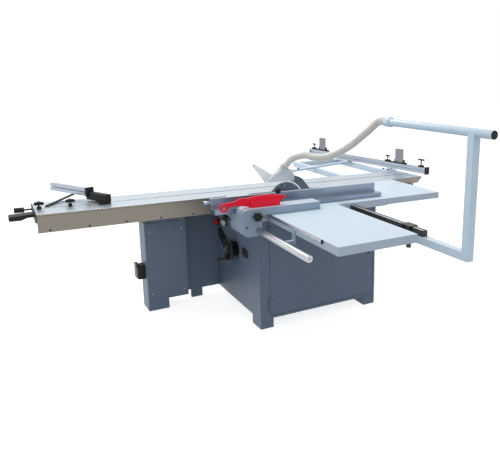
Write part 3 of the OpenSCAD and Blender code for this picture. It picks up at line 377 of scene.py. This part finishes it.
FINISHES = {
    powder_coat: ("cabinet_shell", "cabinet_right", "door", "feet", "column"),
    pale_enamel: ("outrigger_frame", "dust_arm", "arm_tube"),
    cast_enamel: ("rip_carrier", "bar_brackets"),
    ground_iron: ("main_table", "rear_table", "right_table"),
    aluminium_painted_side_shade: ("sliding_table", "fixed_beam"),
    fence_aluminium: ("rip_fence",),
    anodised: ("crosscut_fence", "mitre_fence", "table_insert"),
    grey_enamel: ("stop_near_flap", "stop_far_flap"),
    turned_steel: ("round_bar", "scale_rail", "roller_cage", "guide_rods", "motor_pulley", "arbor",
                   "lead_screw"),
    blade_steel: ("main_blade", "scoring_blade", "riving_knife"),
    black_nylon: ("table_ends", "push_handle", "lock_knob", "tee_knob_front", "tee_knob_rear", "mitre_base",
                  "mitre_block", "fence_caps", "stop_near", "stop_far", "carrier_lever", "star_knob",
                  "fence_clamp", "switch_base", "handwheel"),
    black_enamel: ("arm_rail", "motor"),
    raw_casting: ("trunnion_tracks", "tilt_cradle", "rise_carriage"),
    grey_abs: ("switch_lid",),
    ivory_abs: ("start_button",),
    red_pvc: ("push_stick", "stick_holder", "stop_button"),
    belt_rubber: ("drive_belt",),
    cloudy_acrylic: ("blade_guard",),
    hose_vinyl: ("hose_upper", "hose_lower"),
}
# Solids whose edges stay as the CAD has them
SHARP = ("main_blade", "scoring_blade", "roller_cage", "hose_upper", "hose_lower", "drive_belt")
made = {}


def finish_of(maker):
    """The finish a maker gives, made once."""
    if maker not in made:
        made[maker] = maker()
    return made[maker]


def round_edges(solid, width):
    """Round an object's sharp edges; gives the modifier."""
    bevel = solid.modifiers.new("edge_round", "BEVEL")
    bevel.width = width
    bevel.segments = 2
    bevel.limit_method = "ANGLE"
    bevel.angle_limit = math.radians(40)
    return bevel


class SAW_OT_finishes(bpy.types.Operator):
    """Give every CAD solid its finish and soften its edges"""
    bl_idname = "saw.finishes"
    bl_label = "Finishes"

    def execute(self, context):
        for maker, nodes in FINISHES.items():
            for name in nodes:
                solid = frame["nodes"][name]
                solid.data.materials.clear()
                solid.data.materials.append(finish_of(maker))
                if name in SHARP:
                    continue
                weld = solid.modifiers.new("weld", "WELD")
                weld.merge_threshold = 0.01 * MM
                round_edges(solid, context.scene.saw_finish.edge).harden_normals = True
        return {"FINISHED"}


# Route of the dust hose in metres, as in the CAD: from the guard to the meeting point, then on to the arm
HOSE_UP = [(-0.11474, -0.02826, 1.06263), (-0.06158, -0.00891, 1.1192), (0.085, 0.048, 1.186),
           (0.200, 0.082, 1.182)]
HOSE_ON = [(0.370, 0.122, 1.210), (0.570, 0.168, 1.305), (0.740, 0.210, 1.425),
           (0.850, 0.240, 1.500), (0.950, 0.240, 1.500)]
# Lengths from the guard, in metres, at which the hose is split and a further point along it is found
RISE_REACH = 0.12
TILT_REACH = 0.45
# A direction across the hose, which no part of it runs along
ACROSS = Vector((-0.22, 0.975, 0.0))
HOSE_SIDES = 24
HOSE_WALL = 2 * MM
POINTS_PER_RIB = 6


def hose_route(spacing):
    """Points along the whole hose: a smooth curve, straight at both ends."""
    stops = [Vector(p) for p in HOSE_UP + HOSE_ON]
    last = len(stops) - 1
    lean = []
    for i in range(last + 1):
        if i in (0, 1):
            lean.append((stops[1] - stops[0]).normalized())
        elif i in (last - 1, last):
            lean.append((stops[last] - stops[last - 1]).normalized())
        else:
            lean.append((stops[i + 1] - stops[i - 1]).normalized())
    points = [stops[0]]
    for i in range(last):
        a, b = stops[i], stops[i + 1]
        reach = (b - a).length
        steps = max(2, round(reach / spacing))
        for k in range(1, steps + 1):
            t = k / steps
            points.append(a * (2 * t**3 - 3 * t**2 + 1) + lean[i] * reach * (t**3 - 2 * t**2 + t)
                          + b * (3 * t**2 - 2 * t**3) + lean[i + 1] * reach * (t**3 - t**2))
    return points


def at_reach(points, reach):
    """Index of the point that lies this far along the hose."""
    travelled = 0.0
    for i in range(1, len(points)):
        travelled += (points[i] - points[i - 1]).length
        if travelled >= reach:
            return i
    raise ValueError("the hose is shorter than the reach asked for")


def around(steps):
    """Cosine and sine of equal steps round a circle."""
    return [(math.cos(k * 2 * math.pi / steps), math.sin(k * 2 * math.pi / steps)) for k in range(steps)]


def bridge(mesh, low, high, flip=False):
    """Join two rings, of as many vertices each, by four-sided faces."""
    count = len(low)
    for k in range(count):
        quad = [low[k], low[(k + 1) % count], high[(k + 1) % count], high[k]]
        mesh.faces.new(quad[::-1] if flip else quad)


def mesh_object(name, mesh, finish):
    """Turn a built mesh into a smooth object with its finish."""
    bmesh.ops.recalc_face_normals(mesh, faces=mesh.faces)
    data = bpy.data.meshes.new(name)
    mesh.to_mesh(data)
    mesh.free()
    data.materials.append(finish_of(finish))
    data.polygons.foreach_set("use_smooth", [True] * len(data.polygons))
    made_object = bpy.data.objects.new(name, data)
    bpy.context.scene.collection.objects.link(made_object)
    return made_object


def ribbed_tube(name, points, settings):
    """A hose with a bore and rounded ribs along points; its groove attribute is 1 between two ribs."""
    mesh = bmesh.new()
    groove = mesh.verts.layers.float.new("groove")
    outer = settings.diameter / 2
    bore = outer - settings.rib - HOSE_WALL
    skin, lining = [], []
    travelled = 0.0
    last = len(points) - 1
    for i, point in enumerate(points):
        axis = (points[min(i + 1, last)] - points[max(i - 1, 0)]).normalized()
        a = (ACROSS - axis * ACROSS.dot(axis)).normalized()
        b = axis.cross(a)
        if i:
            travelled += (point - points[i - 1]).length
        swell = 0.5 + 0.5 * math.cos(2 * math.pi * travelled / settings.pitch)
        for rings, radius in ((skin, outer - settings.rib * (1 - swell)), (lining, bore)):
            ring = [mesh.verts.new(point + (a * c + b * s) * radius) for c, s in around(HOSE_SIDES)]
            for vert in ring:
                # The groove weight sets the painted shade between the ribs
                vert[groove] = (1 - swell) ** 2
            rings.append(ring)
    for rings in (skin, lining):
        for low, high in zip(rings, rings[1:]):
            bridge(mesh, low, high, flip=rings is lining)
    for end in (0, last):
        bridge(mesh, skin[end], lining[end], flip=end == 0)
    return mesh_object(name, mesh, hose_vinyl)


class SAW_OT_hose(bpy.types.Operator):
    """Make the ribbed dust hose in two lengths: a short one from the guard, and a long one on to the arm"""
    bl_idname = "saw.hose"
    bl_label = "Dust Hose"

    def execute(self, context):
        settings = context.scene.saw_hose
        points = hose_route(settings.pitch / POINTS_PER_RIB)
        split, still = at_reach(points, RISE_REACH), at_reach(points, TILT_REACH)
        upper = points[split:]
        lengths = (("dust_hose_lower", points[:split + 1], ("hose_lower",), "rise", "tilt", points[split]),
                   ("dust_hose_upper", upper, ("hose_lower", "hose_upper"), "tilt", "base", points[still]))
        for name, way, nodes, near, far, bend_end in lengths:
            tube = ribbed_tube(name, way, settings)
            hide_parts(*nodes)
            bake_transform(tube)
        return {"FINISHED"}


def in_mm(*pairs):
    """Pairs of millimetres, in metres."""
    return [(a * MM, b * MM) for a, b in pairs]


def lathe(mesh, profile, place, steps=32):
    """Turn a profile of (radius, height) about its own Z and set it by a matrix."""
    rings = []
    for radius, height in profile:
        turned = around(steps) if radius > 1e-6 else [(0, 0)]
        rings.append([mesh.verts.new(place @ Vector((radius * c, radius * s, height))) for c, s in turned])
    for low, high in zip(rings, rings[1:]):
        for k in range(steps):
            corners = [ring[n % len(ring)] for ring, n in ((low, k), (low, k + 1), (high, k + 1), (high, k))]
            mesh.faces.new(list(dict.fromkeys(corners)))


def prism(mesh, outline, place, depth):
    """Extrude a closed outline of (x, y) along its own Z and set it by a matrix."""
    low, high = [[mesh.verts.new(place @ Vector((x, y, z))) for x, y in outline] for z in (0, depth)]
    mesh.faces.new(low[::-1])
    mesh.faces.new(high)
    bridge(mesh, low, high)


def strip(mesh, inner, outer, place, depth):
    """Extrude the band between two open lines of (x, y) with as many points each."""
    layers = [[[mesh.verts.new(place @ Vector((x, y, z))) for x, y in line] for line in (inner, outer)]
              for z in (0, depth)]
    (a, b), (c, d) = layers
    for k in range(len(inner) - 1):
        for quad in ((a, b, b, a), (d, c, c, d), (c, a, a, c), (b, d, d, b)):
            mesh.faces.new([quad[0][k], quad[1][k], quad[2][k + 1], quad[3][k + 1]])
    for k in (0, len(inner) - 1):
        mesh.faces.new([a[k], b[k], d[k], c[k]])


def piece(name, build, finish, body, smooth_deg=35, edge=0.0):
    """Make an object from a mesh-building function, give it its finish and let it ride on a body."""
    mesh = bmesh.new()
    build(mesh)
    made_piece = mesh_object(name, mesh, finish)
    made_piece.data.set_sharp_from_angle(angle=math.radians(smooth_deg))
    if edge:
        round_edges(made_piece, edge)
    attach(made_piece, body)


def facing(at, direction):
    """Matrix that puts a piece's own Z along a direction, at a place."""
    return Matrix.Translation(Vector(at)) @ Vector(direction).to_track_quat("Z", "Y").to_matrix().to_4x4()


def upright(at):
    """Matrix for a drawing of X and Z on the cabinet's front, thick toward the operator."""
    return Matrix.Translation(Vector(at)) @ Matrix.Rotation(math.pi / 2, 4, "X")


def along_x(at, out=1):
    """Matrix for a drawing of Y and Z extruded along X from a place; out of -1 turns its Y round."""
    x, y, z = at
    return Matrix(((0, 0, 1, x), (out, 0, 0, y), (0, 1, 0, z), (0, 0, 0, 1)))


def rounded_rectangle(width, height, radius, steps=6):
    """Outline of a rectangle with round corners, about its middle."""
    points = []
    for corner, (x, y) in enumerate(((1, 1), (-1, 1), (-1, -1), (1, -1))):
        for k in range(steps + 1):
            angle = (corner + k / steps) * math.pi / 2
            points.append((x * (width / 2 - radius) + radius * math.cos(angle),
                           y * (height / 2 - radius) + radius * math.sin(angle)))
    return points


def button_head(radius, height):
    """Profile of a round screw head with a socket."""
    shape = ((0, 0.35), (0.45, 0.35), (0.5, 1), (0.7, 0.97), (0.93, 0.6), (1, 0.2), (1, 0), (0, 0))
    return [(across * radius, up * height) for across, up in shape]


# The Y of the cabinet's front, the way it faces, and places on it as X and Z, in metres; the slot and the two
# buttons are where the CAD has them
FRONT = -0.490
TO_FRONT = (0, -1, 0)
SLOT_CENTRE = (-0.122, 0.870)
SLOT_RADIUS = 0.396
STOP_AT = (-0.372, 0.6204)
START_AT = (-0.190, 0.6504)
LAMP_AT = (-0.278, 0.637)
PLATE_AT = (0.188, 0.5055)
PLATE_SIZE = (0.120, 0.075)
PLATE_T = 1.5 * MM
# The black band round the slot: its width, the slit left open in it, its thickness and its angles in degrees
BAND = 0.112
SLIT = 0.027
BAND_T = 2 * MM
BAND_FROM = -31
BAND_SWEEP = 51
BAND_STEPS = 40
CAP_STEPS = 16


class SAW_OT_panel_fittings(bpy.types.Operator):
    """Fit the slot's black surround, the button bezels, the lamp and the bare plate to the cabinet's front"""
    bl_idname = "saw.panel_fittings"
    bl_label = "Panel Fittings"

    def execute(self, context):
        piece("slot_surround", self.surround, black_nylon, "base")
        piece("button_bezels", self.bezels, black_nylon, "base")
        piece("pilot_lamp", self.lamp, lamp_lens, "base")
        piece("bare_plate", self.plate, black_enamel, "base", edge=0.4 * MM)
        piece("plate_rivets", self.rivets, turned_steel, "base")
        return {"FINISHED"}

    def surround(self, mesh):
        place = upright((SLOT_CENTRE[0], FRONT, SLOT_CENTRE[1]))
        angles = [math.radians(BAND_FROM + k * BAND_SWEEP / BAND_STEPS) for k in range(BAND_STEPS + 1)]
        for side in (-1, 1):
            edges = sorted(SLOT_RADIUS + side * width / 2 for width in (SLIT, BAND))
            lines = [[(radius * math.sin(a), -radius * math.cos(a)) for a in angles] for radius in edges]
            strip(mesh, *lines, place, BAND_T)
        for angle, turn in ((angles[0], -1), (angles[-1], 1)):
            out = Vector((math.sin(angle), -math.cos(angle)))
            along = Vector((math.cos(angle), math.sin(angle))) * turn
            sweep = [math.pi / 2 - k * math.pi / CAP_STEPS for k in range(CAP_STEPS + 1)]
            rays = [along * math.cos(t) + out * math.sin(t) for t in sweep]
            lines = [[tuple(out * SLOT_RADIUS + ray * width / 2) for ray in rays] for width in (SLIT, BAND)]
            strip(mesh, *lines, place, BAND_T)

    def bezels(self, mesh):
        for (x, z), radius in ((STOP_AT, 30), (START_AT, 27)):
            profile = in_mm((12, 0), (radius, 0), (radius, 4), (radius - 3, 8), (12, 8), (12, 0))
            lathe(mesh, profile, facing((x, FRONT, z), TO_FRONT), 40)

    def lamp(self, mesh):
        angles = [k * math.pi / 12 for k in range(6)]
        dome = [(11 * math.cos(a), 8 + 8 * math.sin(a)) for a in angles]
        lathe(mesh, in_mm((0, 0), (15, 0), (15, 4), (12, 7), *dome, (0, 16)),
              facing((LAMP_AT[0], FRONT, LAMP_AT[1]), TO_FRONT), 32)

    def plate(self, mesh):
        place = upright((PLATE_AT[0], FRONT, PLATE_AT[1]))
        prism(mesh, rounded_rectangle(*PLATE_SIZE, 6 * MM), place, PLATE_T)

    def rivets(self, mesh):
        for x in (-0.052, 0.052):
            for z in (-0.030, 0.030):
                lathe(mesh, in_mm((0, 0), (3, 0), (2.6, 0.9), (1.4, 1.5), (0, 1.7)),
                      facing((PLATE_AT[0] + x, FRONT - PLATE_T, PLATE_AT[1] + z), TO_FRONT), 16)


# The sliding table's lip, the apron's sheet, its gap below the lip and the Y of its end near the cabinet
LIP = 10 * MM
SHEET = 2 * MM
APRON_GAP = 2 * MM
APRON_END = -0.580
# Screws along the beam's sides, and the stretch beside the blade that has none on the right
SCREWS = 14
SCREW_INSET = 0.03
SCREW_PITCH = 0.2355
NO_SCREWS = (-0.22, 0.26)
# Marks of the scale: from one to the next, and how wide each is
MARK_PITCH = 10 * MM
MARK_W = 0.9 * MM


class SAW_OT_bar_fittings(bpy.types.Operator):
    """Fit the beam's apron and screws, the scale's marks, and caps to the rail, dust tube and clamp"""
    bl_idname = "saw.bar_fittings"
    bl_label = "Bar and Rail Fittings"

    def execute(self, context):
        piece("beam_apron", self.apron, aluminium_painted_side_shade, "base", edge=0.6 * MM)
        piece("beam_screws", self.screws, black_enamel, "base")
        piece("scale_marks", self.marks, black_enamel, "base")
        piece("rail_cap", self.rail_cap, black_nylon, "base", edge=1.5 * MM)
        piece("tube_plug", self.tube_plug, black_nylon, "base")
        piece("clamp_cap", self.clamp_cap, black_nylon, "carrier", smooth_deg=60)
        return {"FINISHED"}

    def apron(self, mesh):
        """Folded sheet on the beam in front of the cabinet: a wall below the table's lip, and a foot."""
        beam_low, beam_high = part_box("fixed_beam")
        slide_low, slide_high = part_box("sliding_table")
        wall, foot, top = slide_high[0], beam_high[0], slide_high[2] - LIP - APRON_GAP
        section = [(foot, beam_low[2]), (wall, beam_low[2]), (wall, top), (wall - SHEET, top),
                   (wall - SHEET, beam_low[2] + SHEET), (foot, beam_low[2] + SHEET)]
        turn = Matrix(((1, 0, 0, 0), (0, 0, 1, slide_low[1]), (0, 1, 0, 0), (0, 0, 0, 1)))
        prism(mesh, section, turn, APRON_END - slide_low[1])

    def screws(self, mesh):
        low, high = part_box("fixed_beam")
        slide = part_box("sliding_table")[1][0]
        head = button_head(7 * MM, 4.5 * MM)
        for k in range(SCREWS):
            y = low[1] + SCREW_INSET + SCREW_PITCH * k
            right = slide if y < APRON_END else high[0]
            for x, side in ((right, 1), (low[0], -1)):
                if side < 0 or not NO_SCREWS[0] < y < NO_SCREWS[1]:
                    lathe(mesh, head, facing((x, y, low[2] + 14 * MM), (side, 0, 0)), 20)

    def marks(self, mesh):
        low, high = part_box("scale_rail")
        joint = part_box("right_table")[0]
        stretches = ((low[0] + 0.02, joint[0] - 0.01, low[1]),
                     (joint[0] + 0.01, high[0] - 0.01, joint[1] - 5 * MM))
        for start, end, face in stretches:
            for k in range(int((end - start) / MARK_PITCH)):
                tall = 10 * MM if k % 10 == 0 else 7 * MM if k % 5 == 0 else 4.5 * MM
                outline = [(-MARK_W / 2, 0), (MARK_W / 2, 0), (MARK_W / 2, tall), (-MARK_W / 2, tall)]
                prism(mesh, outline, upright((start + k * MARK_PITCH, face, low[2] + 1 * MM)), 0.25 * MM)

    def rail_cap(self, mesh):
        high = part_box("scale_rail")[1]
        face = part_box("right_table")[0][1]
        prism(mesh, rounded_rectangle(12 * MM, 24 * MM, 3 * MM),
              facing((high[0], face - 6.2 * MM, high[2] - 8.5 * MM), (1, 0, 0)), 9 * MM)

    def clamp_cap(self, mesh):
        low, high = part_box("fence_clamp")
        angles = [k * math.pi / 16 for k in range(8)]
        dome = [(20 * math.cos(a), 16 * math.sin(a)) for a in angles]
        lathe(mesh, in_mm((0, 0), *dome, (0, 16)),
              facing((low[0] + 30 * MM, (low[1] + high[1]) / 2, high[2]), (0, 0, 1)), 32)

    def tube_plug(self, mesh):
        low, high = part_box("arm_tube")
        middle = (low + high) / 2
        profile = in_mm((0, -12), (21.6, -12), (21.6, 0), (24.6, 0), (24.6, 3), (22, 5), (0, 5))
        lathe(mesh, profile, facing((high[0], middle[1], middle[2]), (1, 0, 0)), 40)


# Tops of the outrigger's upright bolts, and the Y and Z of the bolts in its end
BOLT_TOPS = [(-0.684, 1.362, 0.876), (-0.596, 1.362, 0.876), (-1.2725, 1.3095, 0.886),
             (-1.0135, 0.5577, 0.886)]
BOLT_ENDS = (0.768, 0.850, 1.304, 1.386)
BOLT_END_Z = 0.820
# Dust arm rail: the Y of its middle and of its front, the Z of its middle, top and lowest rib
RAIL_Y = 0.240
RAIL_FRONT = 0.220
RAIL_Z = 0.832
RAIL_TOP = 0.852
RIB_Z = 0.816
RIBS = 5
RIB_PITCH = 8 * MM
# Where each run of ribs starts along the rail, and how long it is; the arm's grip lies between the two
RIB_RUNS = ((0.0, 0.626), (0.740, 0.104))
GRIP_ENDS = (1.142, 1.250)
# Middle of the column's cover plate on its right side, and its size along Y and Z
COVER_AT = (-0.298, -0.928, 0.380)
COVER_SIZE = (0.262, 0.520)
COVER_T = 1.5 * MM


class SAW_OT_frame_fittings(bpy.types.Operator):
    """Fit the outrigger's bolts, the dust arm rail's ribs, plug and strip, and the column's cover plate"""
    bl_idname = "saw.frame_fittings"
    bl_label = "Frame Fittings"

    def execute(self, context):
        piece("outrigger_bolts", self.bolts, black_nylon, "slide", edge=0.6 * MM)
        piece("rail_ribs", self.ribs, black_enamel, "base", edge=0.4 * MM)
        piece("rail_strip", self.rail_strip, turned_steel, "base", edge=0.4 * MM)
        piece("column_cover", self.cover, powder_coat, "base", edge=0.8 * MM)
        piece("cover_screws", self.cover_screws, turned_steel, "base")
        return {"FINISHED"}

    def bolts(self, mesh):
        end_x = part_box("outrigger_frame")[1][0] - 8 * MM
        ends = [(end_x, y, BOLT_END_Z) for y in BOLT_ENDS]
        hexagon = in_mm(*[(9.5 * c, 9.5 * s) for c, s in around(6)])
        for at, way in [(t, (0, 0, 1)) for t in BOLT_TOPS] + [(e, (-1, 0, 0)) for e in ends]:
            place = facing(at, way)
            lathe(mesh, in_mm((0, 0), (12, 0), (12, 2), (0, 2)), place, 28)
            prism(mesh, hexagon, place @ Matrix.Translation((0, 0, 2 * MM)), 8 * MM)

    def ribs(self, mesh):
        low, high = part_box("arm_rail")
        outline = in_mm((0, -1.6), (1.2, -1.6), (2, -0.8), (2, 0.8), (1.2, 1.6), (0, 1.6))
        for k in range(RIBS):
            for start, length in RIB_RUNS:
                at = (low[0] + 2 * MM + start, RAIL_FRONT, RIB_Z + RIB_PITCH * k)
                prism(mesh, outline, along_x(at, out=-1), length)
        plug = rounded_rectangle(39 * MM, 39 * MM, 3 * MM)
        prism(mesh, plug, facing((high[0], RAIL_Y, RAIL_Z), (1, 0, 0)), 3 * MM)

    def rail_strip(self, mesh):
        low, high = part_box("arm_rail")
        outline = in_mm((-19, 0), (-3, 0), (-3, 1.5), (-19, 1.5))
        for start, end in ((low[0] + 2 * MM, GRIP_ENDS[0]), (GRIP_ENDS[1], high[0] - 2 * MM)):
            prism(mesh, outline, along_x((start, RAIL_Y, RAIL_TOP)), end - start)

    def cover(self, mesh):
        prism(mesh, rounded_rectangle(*COVER_SIZE, 8 * MM), along_x(COVER_AT), COVER_T)

    def cover_screws(self, mesh):
        x, y, z = COVER_AT
        for dy in (-0.118, 0.118):
            for dz in (-0.245, 0.245):
                lathe(mesh, button_head(5 * MM, 3 * MM), facing((x + COVER_T, y + dy, z + dz), (1, 0, 0)), 20)


class SAW_OT_knob_heads(bpy.types.Operator):
    """Set three-lobed grips on the clamps in the sliding table's slot"""
    bl_idname = "saw.knob_heads"
    bl_label = "Knob Heads"

    def execute(self, context):
        for node, body in (("tee_knob_front", "tee_front"), ("tee_knob_rear", "tee_rear")):
            piece(node.replace("knob", "head"), lambda mesh: self.head(mesh, node), black_nylon, body,
                  smooth_deg=50, edge=3 * MM)
        return {"FINISHED"}

    def head(self, mesh, node):
        low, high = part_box(node)
        outline = []
        for k in range(48):
            angle = k * math.pi / 24
            reach = 25 * MM + 8 * MM * math.cos(3 * angle)
            outline.append((reach * math.cos(angle), reach * math.sin(angle)))
        middle = (low + high) / 2
        prism(mesh, outline, facing((middle[0], middle[1], high[2] - 15 * MM), (0, 0, 1)), 20 * MM)


# How far the handwheel's middle stands before the cabinet's front, and its hub's face before that
WHEEL_OUT = 0.056
HUB_OUT = 0.022


class SAW_OT_wheel_dial(bpy.types.Operator):
    """Set the height dial in the handwheel's hub"""
    bl_idname = "saw.wheel_dial"
    bl_label = "Handwheel Dial"

    def execute(self, context):
        piece("dial_ring", self.ring, black_enamel, "wheel")
        piece("dial_marks", self.marks, hose_vinyl, "wheel")
        return {"FINISHED"}

    def hub(self):
        """Matrix at the middle of the hub's front face, thick toward the operator."""
        joints = frame["record"]["behaviour"]["joints"]
        x, _, z = next(j["pos_m"] for j in joints if j["name"] == "handwheel_turn")
        return facing((x, FRONT - WHEEL_OUT - HUB_OUT, z), TO_FRONT)

    def ring(self, mesh):
        lathe(mesh, in_mm((24, 0), (29, 0), (29, 2.5), (27, 4), (25, 4), (24, 0)), self.hub(), 48)

    def marks(self, mesh):
        outline = in_mm((-0.8, 17), (0.8, 17), (0.8, 22), (-0.8, 22))
        for k in range(12):
            prism(mesh, outline, self.hub() @ Matrix.Rotation(k * math.pi / 6, 4, "Z"), 0.6 * MM)
        pointer = in_mm((-1.2, -6), (1.2, -6), (0.5, 15), (-0.5, 15))
        prism(mesh, pointer, self.hub() @ Matrix.Rotation(0.7, 4, "Z"), 1.2 * MM)


# Camera fitted to the photograph: its place in metres, its yaw, pitch and roll in degrees, and its focal
# length and middle in pixels of a picture of this size
CAMERA_AT = Vector((4.0076, -1.9848, 1.7776))
CAMERA_TURN = (55.47, -12.13, 1.19)
FOCAL_PX = 566.7
PHOTO = (500, 450)
CENTRE_PX = (373.1, 200.7)
# Half the floor's side, and the place that the lamps look at
FLOOR_REACH = 30
LIT = Vector((0, 0, 0.7))


class SAW_OT_stage(bpy.types.Operator):
    """Make the floor, the soft light and the photograph's camera"""
    bl_idname = "saw.stage"
    bl_label = "Stage"

    def execute(self, context):
        settings = context.scene.saw_stage
        scene = context.scene
        scene.view_settings.view_transform = "Standard"
        self.floor(settings)
        self.light(scene, settings)
        self.camera(scene)
        return {"FINISHED"}

    def seen(self, tree, otherwise, when_seen):
        """A strength for what the camera, mirrors and clear plastic see, and another for all other light."""
        rays = add_node(tree, "ShaderNodeLightPath")
        either = add_node(tree, "ShaderNodeMath", {"operation": "MAXIMUM"}, i0=rays.outputs["Is Camera Ray"],
                          i1=rays.outputs["Is Glossy Ray"])
        every = add_node(tree, "ShaderNodeMath", {"operation": "MAXIMUM"}, i0=either.outputs[0],
                         i1=rays.outputs["Is Transmission Ray"])
        return spread(tree, every.outputs[0], otherwise, when_seen)

    def floor(self, settings):
        data = bpy.data.meshes.new("studio_floor")
        corners = [(x * FLOOR_REACH, y * FLOOR_REACH, 0) for x, y in ((-1, -1), (1, -1), (1, 1), (-1, 1))]
        data.from_pydata(corners, [], [(0, 1, 2, 3)])
        floor = bpy.data.objects.new("studio_floor", data)
        bpy.context.scene.collection.objects.link(floor)
        floor.location.z = CAD_BOX[0][2] - 0.5 * MM
        material = bpy.data.materials.new("white_sweep")
        material.use_nodes = True
        tree = material.node_tree
        tree.nodes.clear()
        matt = add_node(tree, "ShaderNodeBsdfDiffuse", Color=linear(settings.floor))
        glow = add_node(tree, "ShaderNodeEmission", Color=linear("#ffffff"),
                        Strength=self.seen(tree, 0.0, settings.glow))
        both = add_node(tree, "ShaderNodeAddShader", i0=matt.outputs[0], i1=glow.outputs[0])
        add_node(tree, "ShaderNodeOutputMaterial", Surface=both.outputs[0])
        data.materials.append(material)

    def light(self, scene, settings):
        world = bpy.data.worlds.new("studio")
        scene.world = world
        world.use_nodes = True
        tree = world.node_tree
        tree.nodes.clear()
        white = add_node(tree, "ShaderNodeBackground", Color=linear("#ffffff"),
                         Strength=self.seen(tree, settings.ambient, 1.0))
        add_node(tree, "ShaderNodeOutputWorld", Surface=white.outputs[0])
        for name, at, size, power in (("overhead", (-1.6, -0.8, 4.8), 1.2, settings.key),
                                      ("front_soft", (-4.6, -4.6, 2.0), 2.5, 0.35 * settings.key)):
            lamp = bpy.data.lights.new(name, "AREA")
            lamp.shape = "DISK"
            lamp.size = size
            lamp.energy = power
            holder = bpy.data.objects.new(name, lamp)
            holder.location = at
            holder.rotation_euler = (LIT - Vector(at)).to_track_quat("-Z", "Y").to_euler()
            scene.collection.objects.link(holder)

    def camera(self, scene):
        yaw, pitch, roll = (math.radians(a) for a in CAMERA_TURN)
        ahead = Vector((-math.sin(yaw) * math.cos(pitch), math.cos(yaw) * math.cos(pitch), math.sin(pitch)))
        right = Vector((math.cos(yaw), math.sin(yaw), 0))
        up = right.cross(ahead)
        level_right = right * math.cos(roll) + up * math.sin(roll)
        level_up = up * math.cos(roll) - right * math.sin(roll)
        data = bpy.data.cameras.new("photo_camera")
        data.sensor_width = 36
        data.sensor_fit = "HORIZONTAL"
        data.lens = FOCAL_PX * data.sensor_width / PHOTO[0]
        data.shift_x = (PHOTO[0] / 2 - CENTRE_PX[0]) / PHOTO[0]
        data.shift_y = (CENTRE_PX[1] - PHOTO[1] / 2) / PHOTO[0]
        data.clip_end = 100
        camera = bpy.data.objects.new("photo_camera", data)
        turn = Matrix((level_right, level_up, -ahead)).transposed()
        camera.matrix_world = Matrix.Translation(CAMERA_AT) @ turn.to_4x4()
        scene.collection.objects.link(camera)
        scene.camera = camera


class SAW_PT_panel(bpy.types.Panel):
    """Steps that dress the saw"""
    bl_idname = "SAW_PT_panel"
    bl_label = "Table Saw"
    bl_space_type = "VIEW_3D"
    bl_region_type = "UI"
    bl_category = "Table Saw"

    def draw(self, context):
        for step in STEPS:
            self.layout.operator(step.bl_idname)


STEPS = (SAW_OT_stage, SAW_OT_hose, SAW_OT_finishes, SAW_OT_panel_fittings, SAW_OT_bar_fittings,
         SAW_OT_frame_fittings, SAW_OT_knob_heads, SAW_OT_wheel_dial)
GROUPS = {"saw_finish": SawFinishSettings, "saw_hose": SawHoseSettings, "saw_stage": SawStageSettings}


def register():
    for group in GROUPS.values():
        bpy.utils.register_class(group)
    for name, group in GROUPS.items():
        setattr(bpy.types.Scene, name, bpy.props.PointerProperty(type=group))
    for step in STEPS + (SAW_PT_panel,):
        bpy.utils.register_class(step)


def unregister():
    for step in reversed(STEPS + (SAW_PT_panel,)):
        bpy.utils.unregister_class(step)
    for name in GROUPS:
        delattr(bpy.types.Scene, name)
    for group in reversed(GROUPS.values()):
        bpy.utils.unregister_class(group)


def main():
    register()
    bpy.ops.saw.stage()
    bpy.ops.saw.hose()
    bpy.ops.saw.finishes()
    bpy.ops.saw.panel_fittings()
    bpy.ops.saw.bar_fittings()
    bpy.ops.saw.frame_fittings()
    bpy.ops.saw.knob_heads()
    bpy.ops.saw.wheel_dial()


if __name__ == "__main__":
    main()
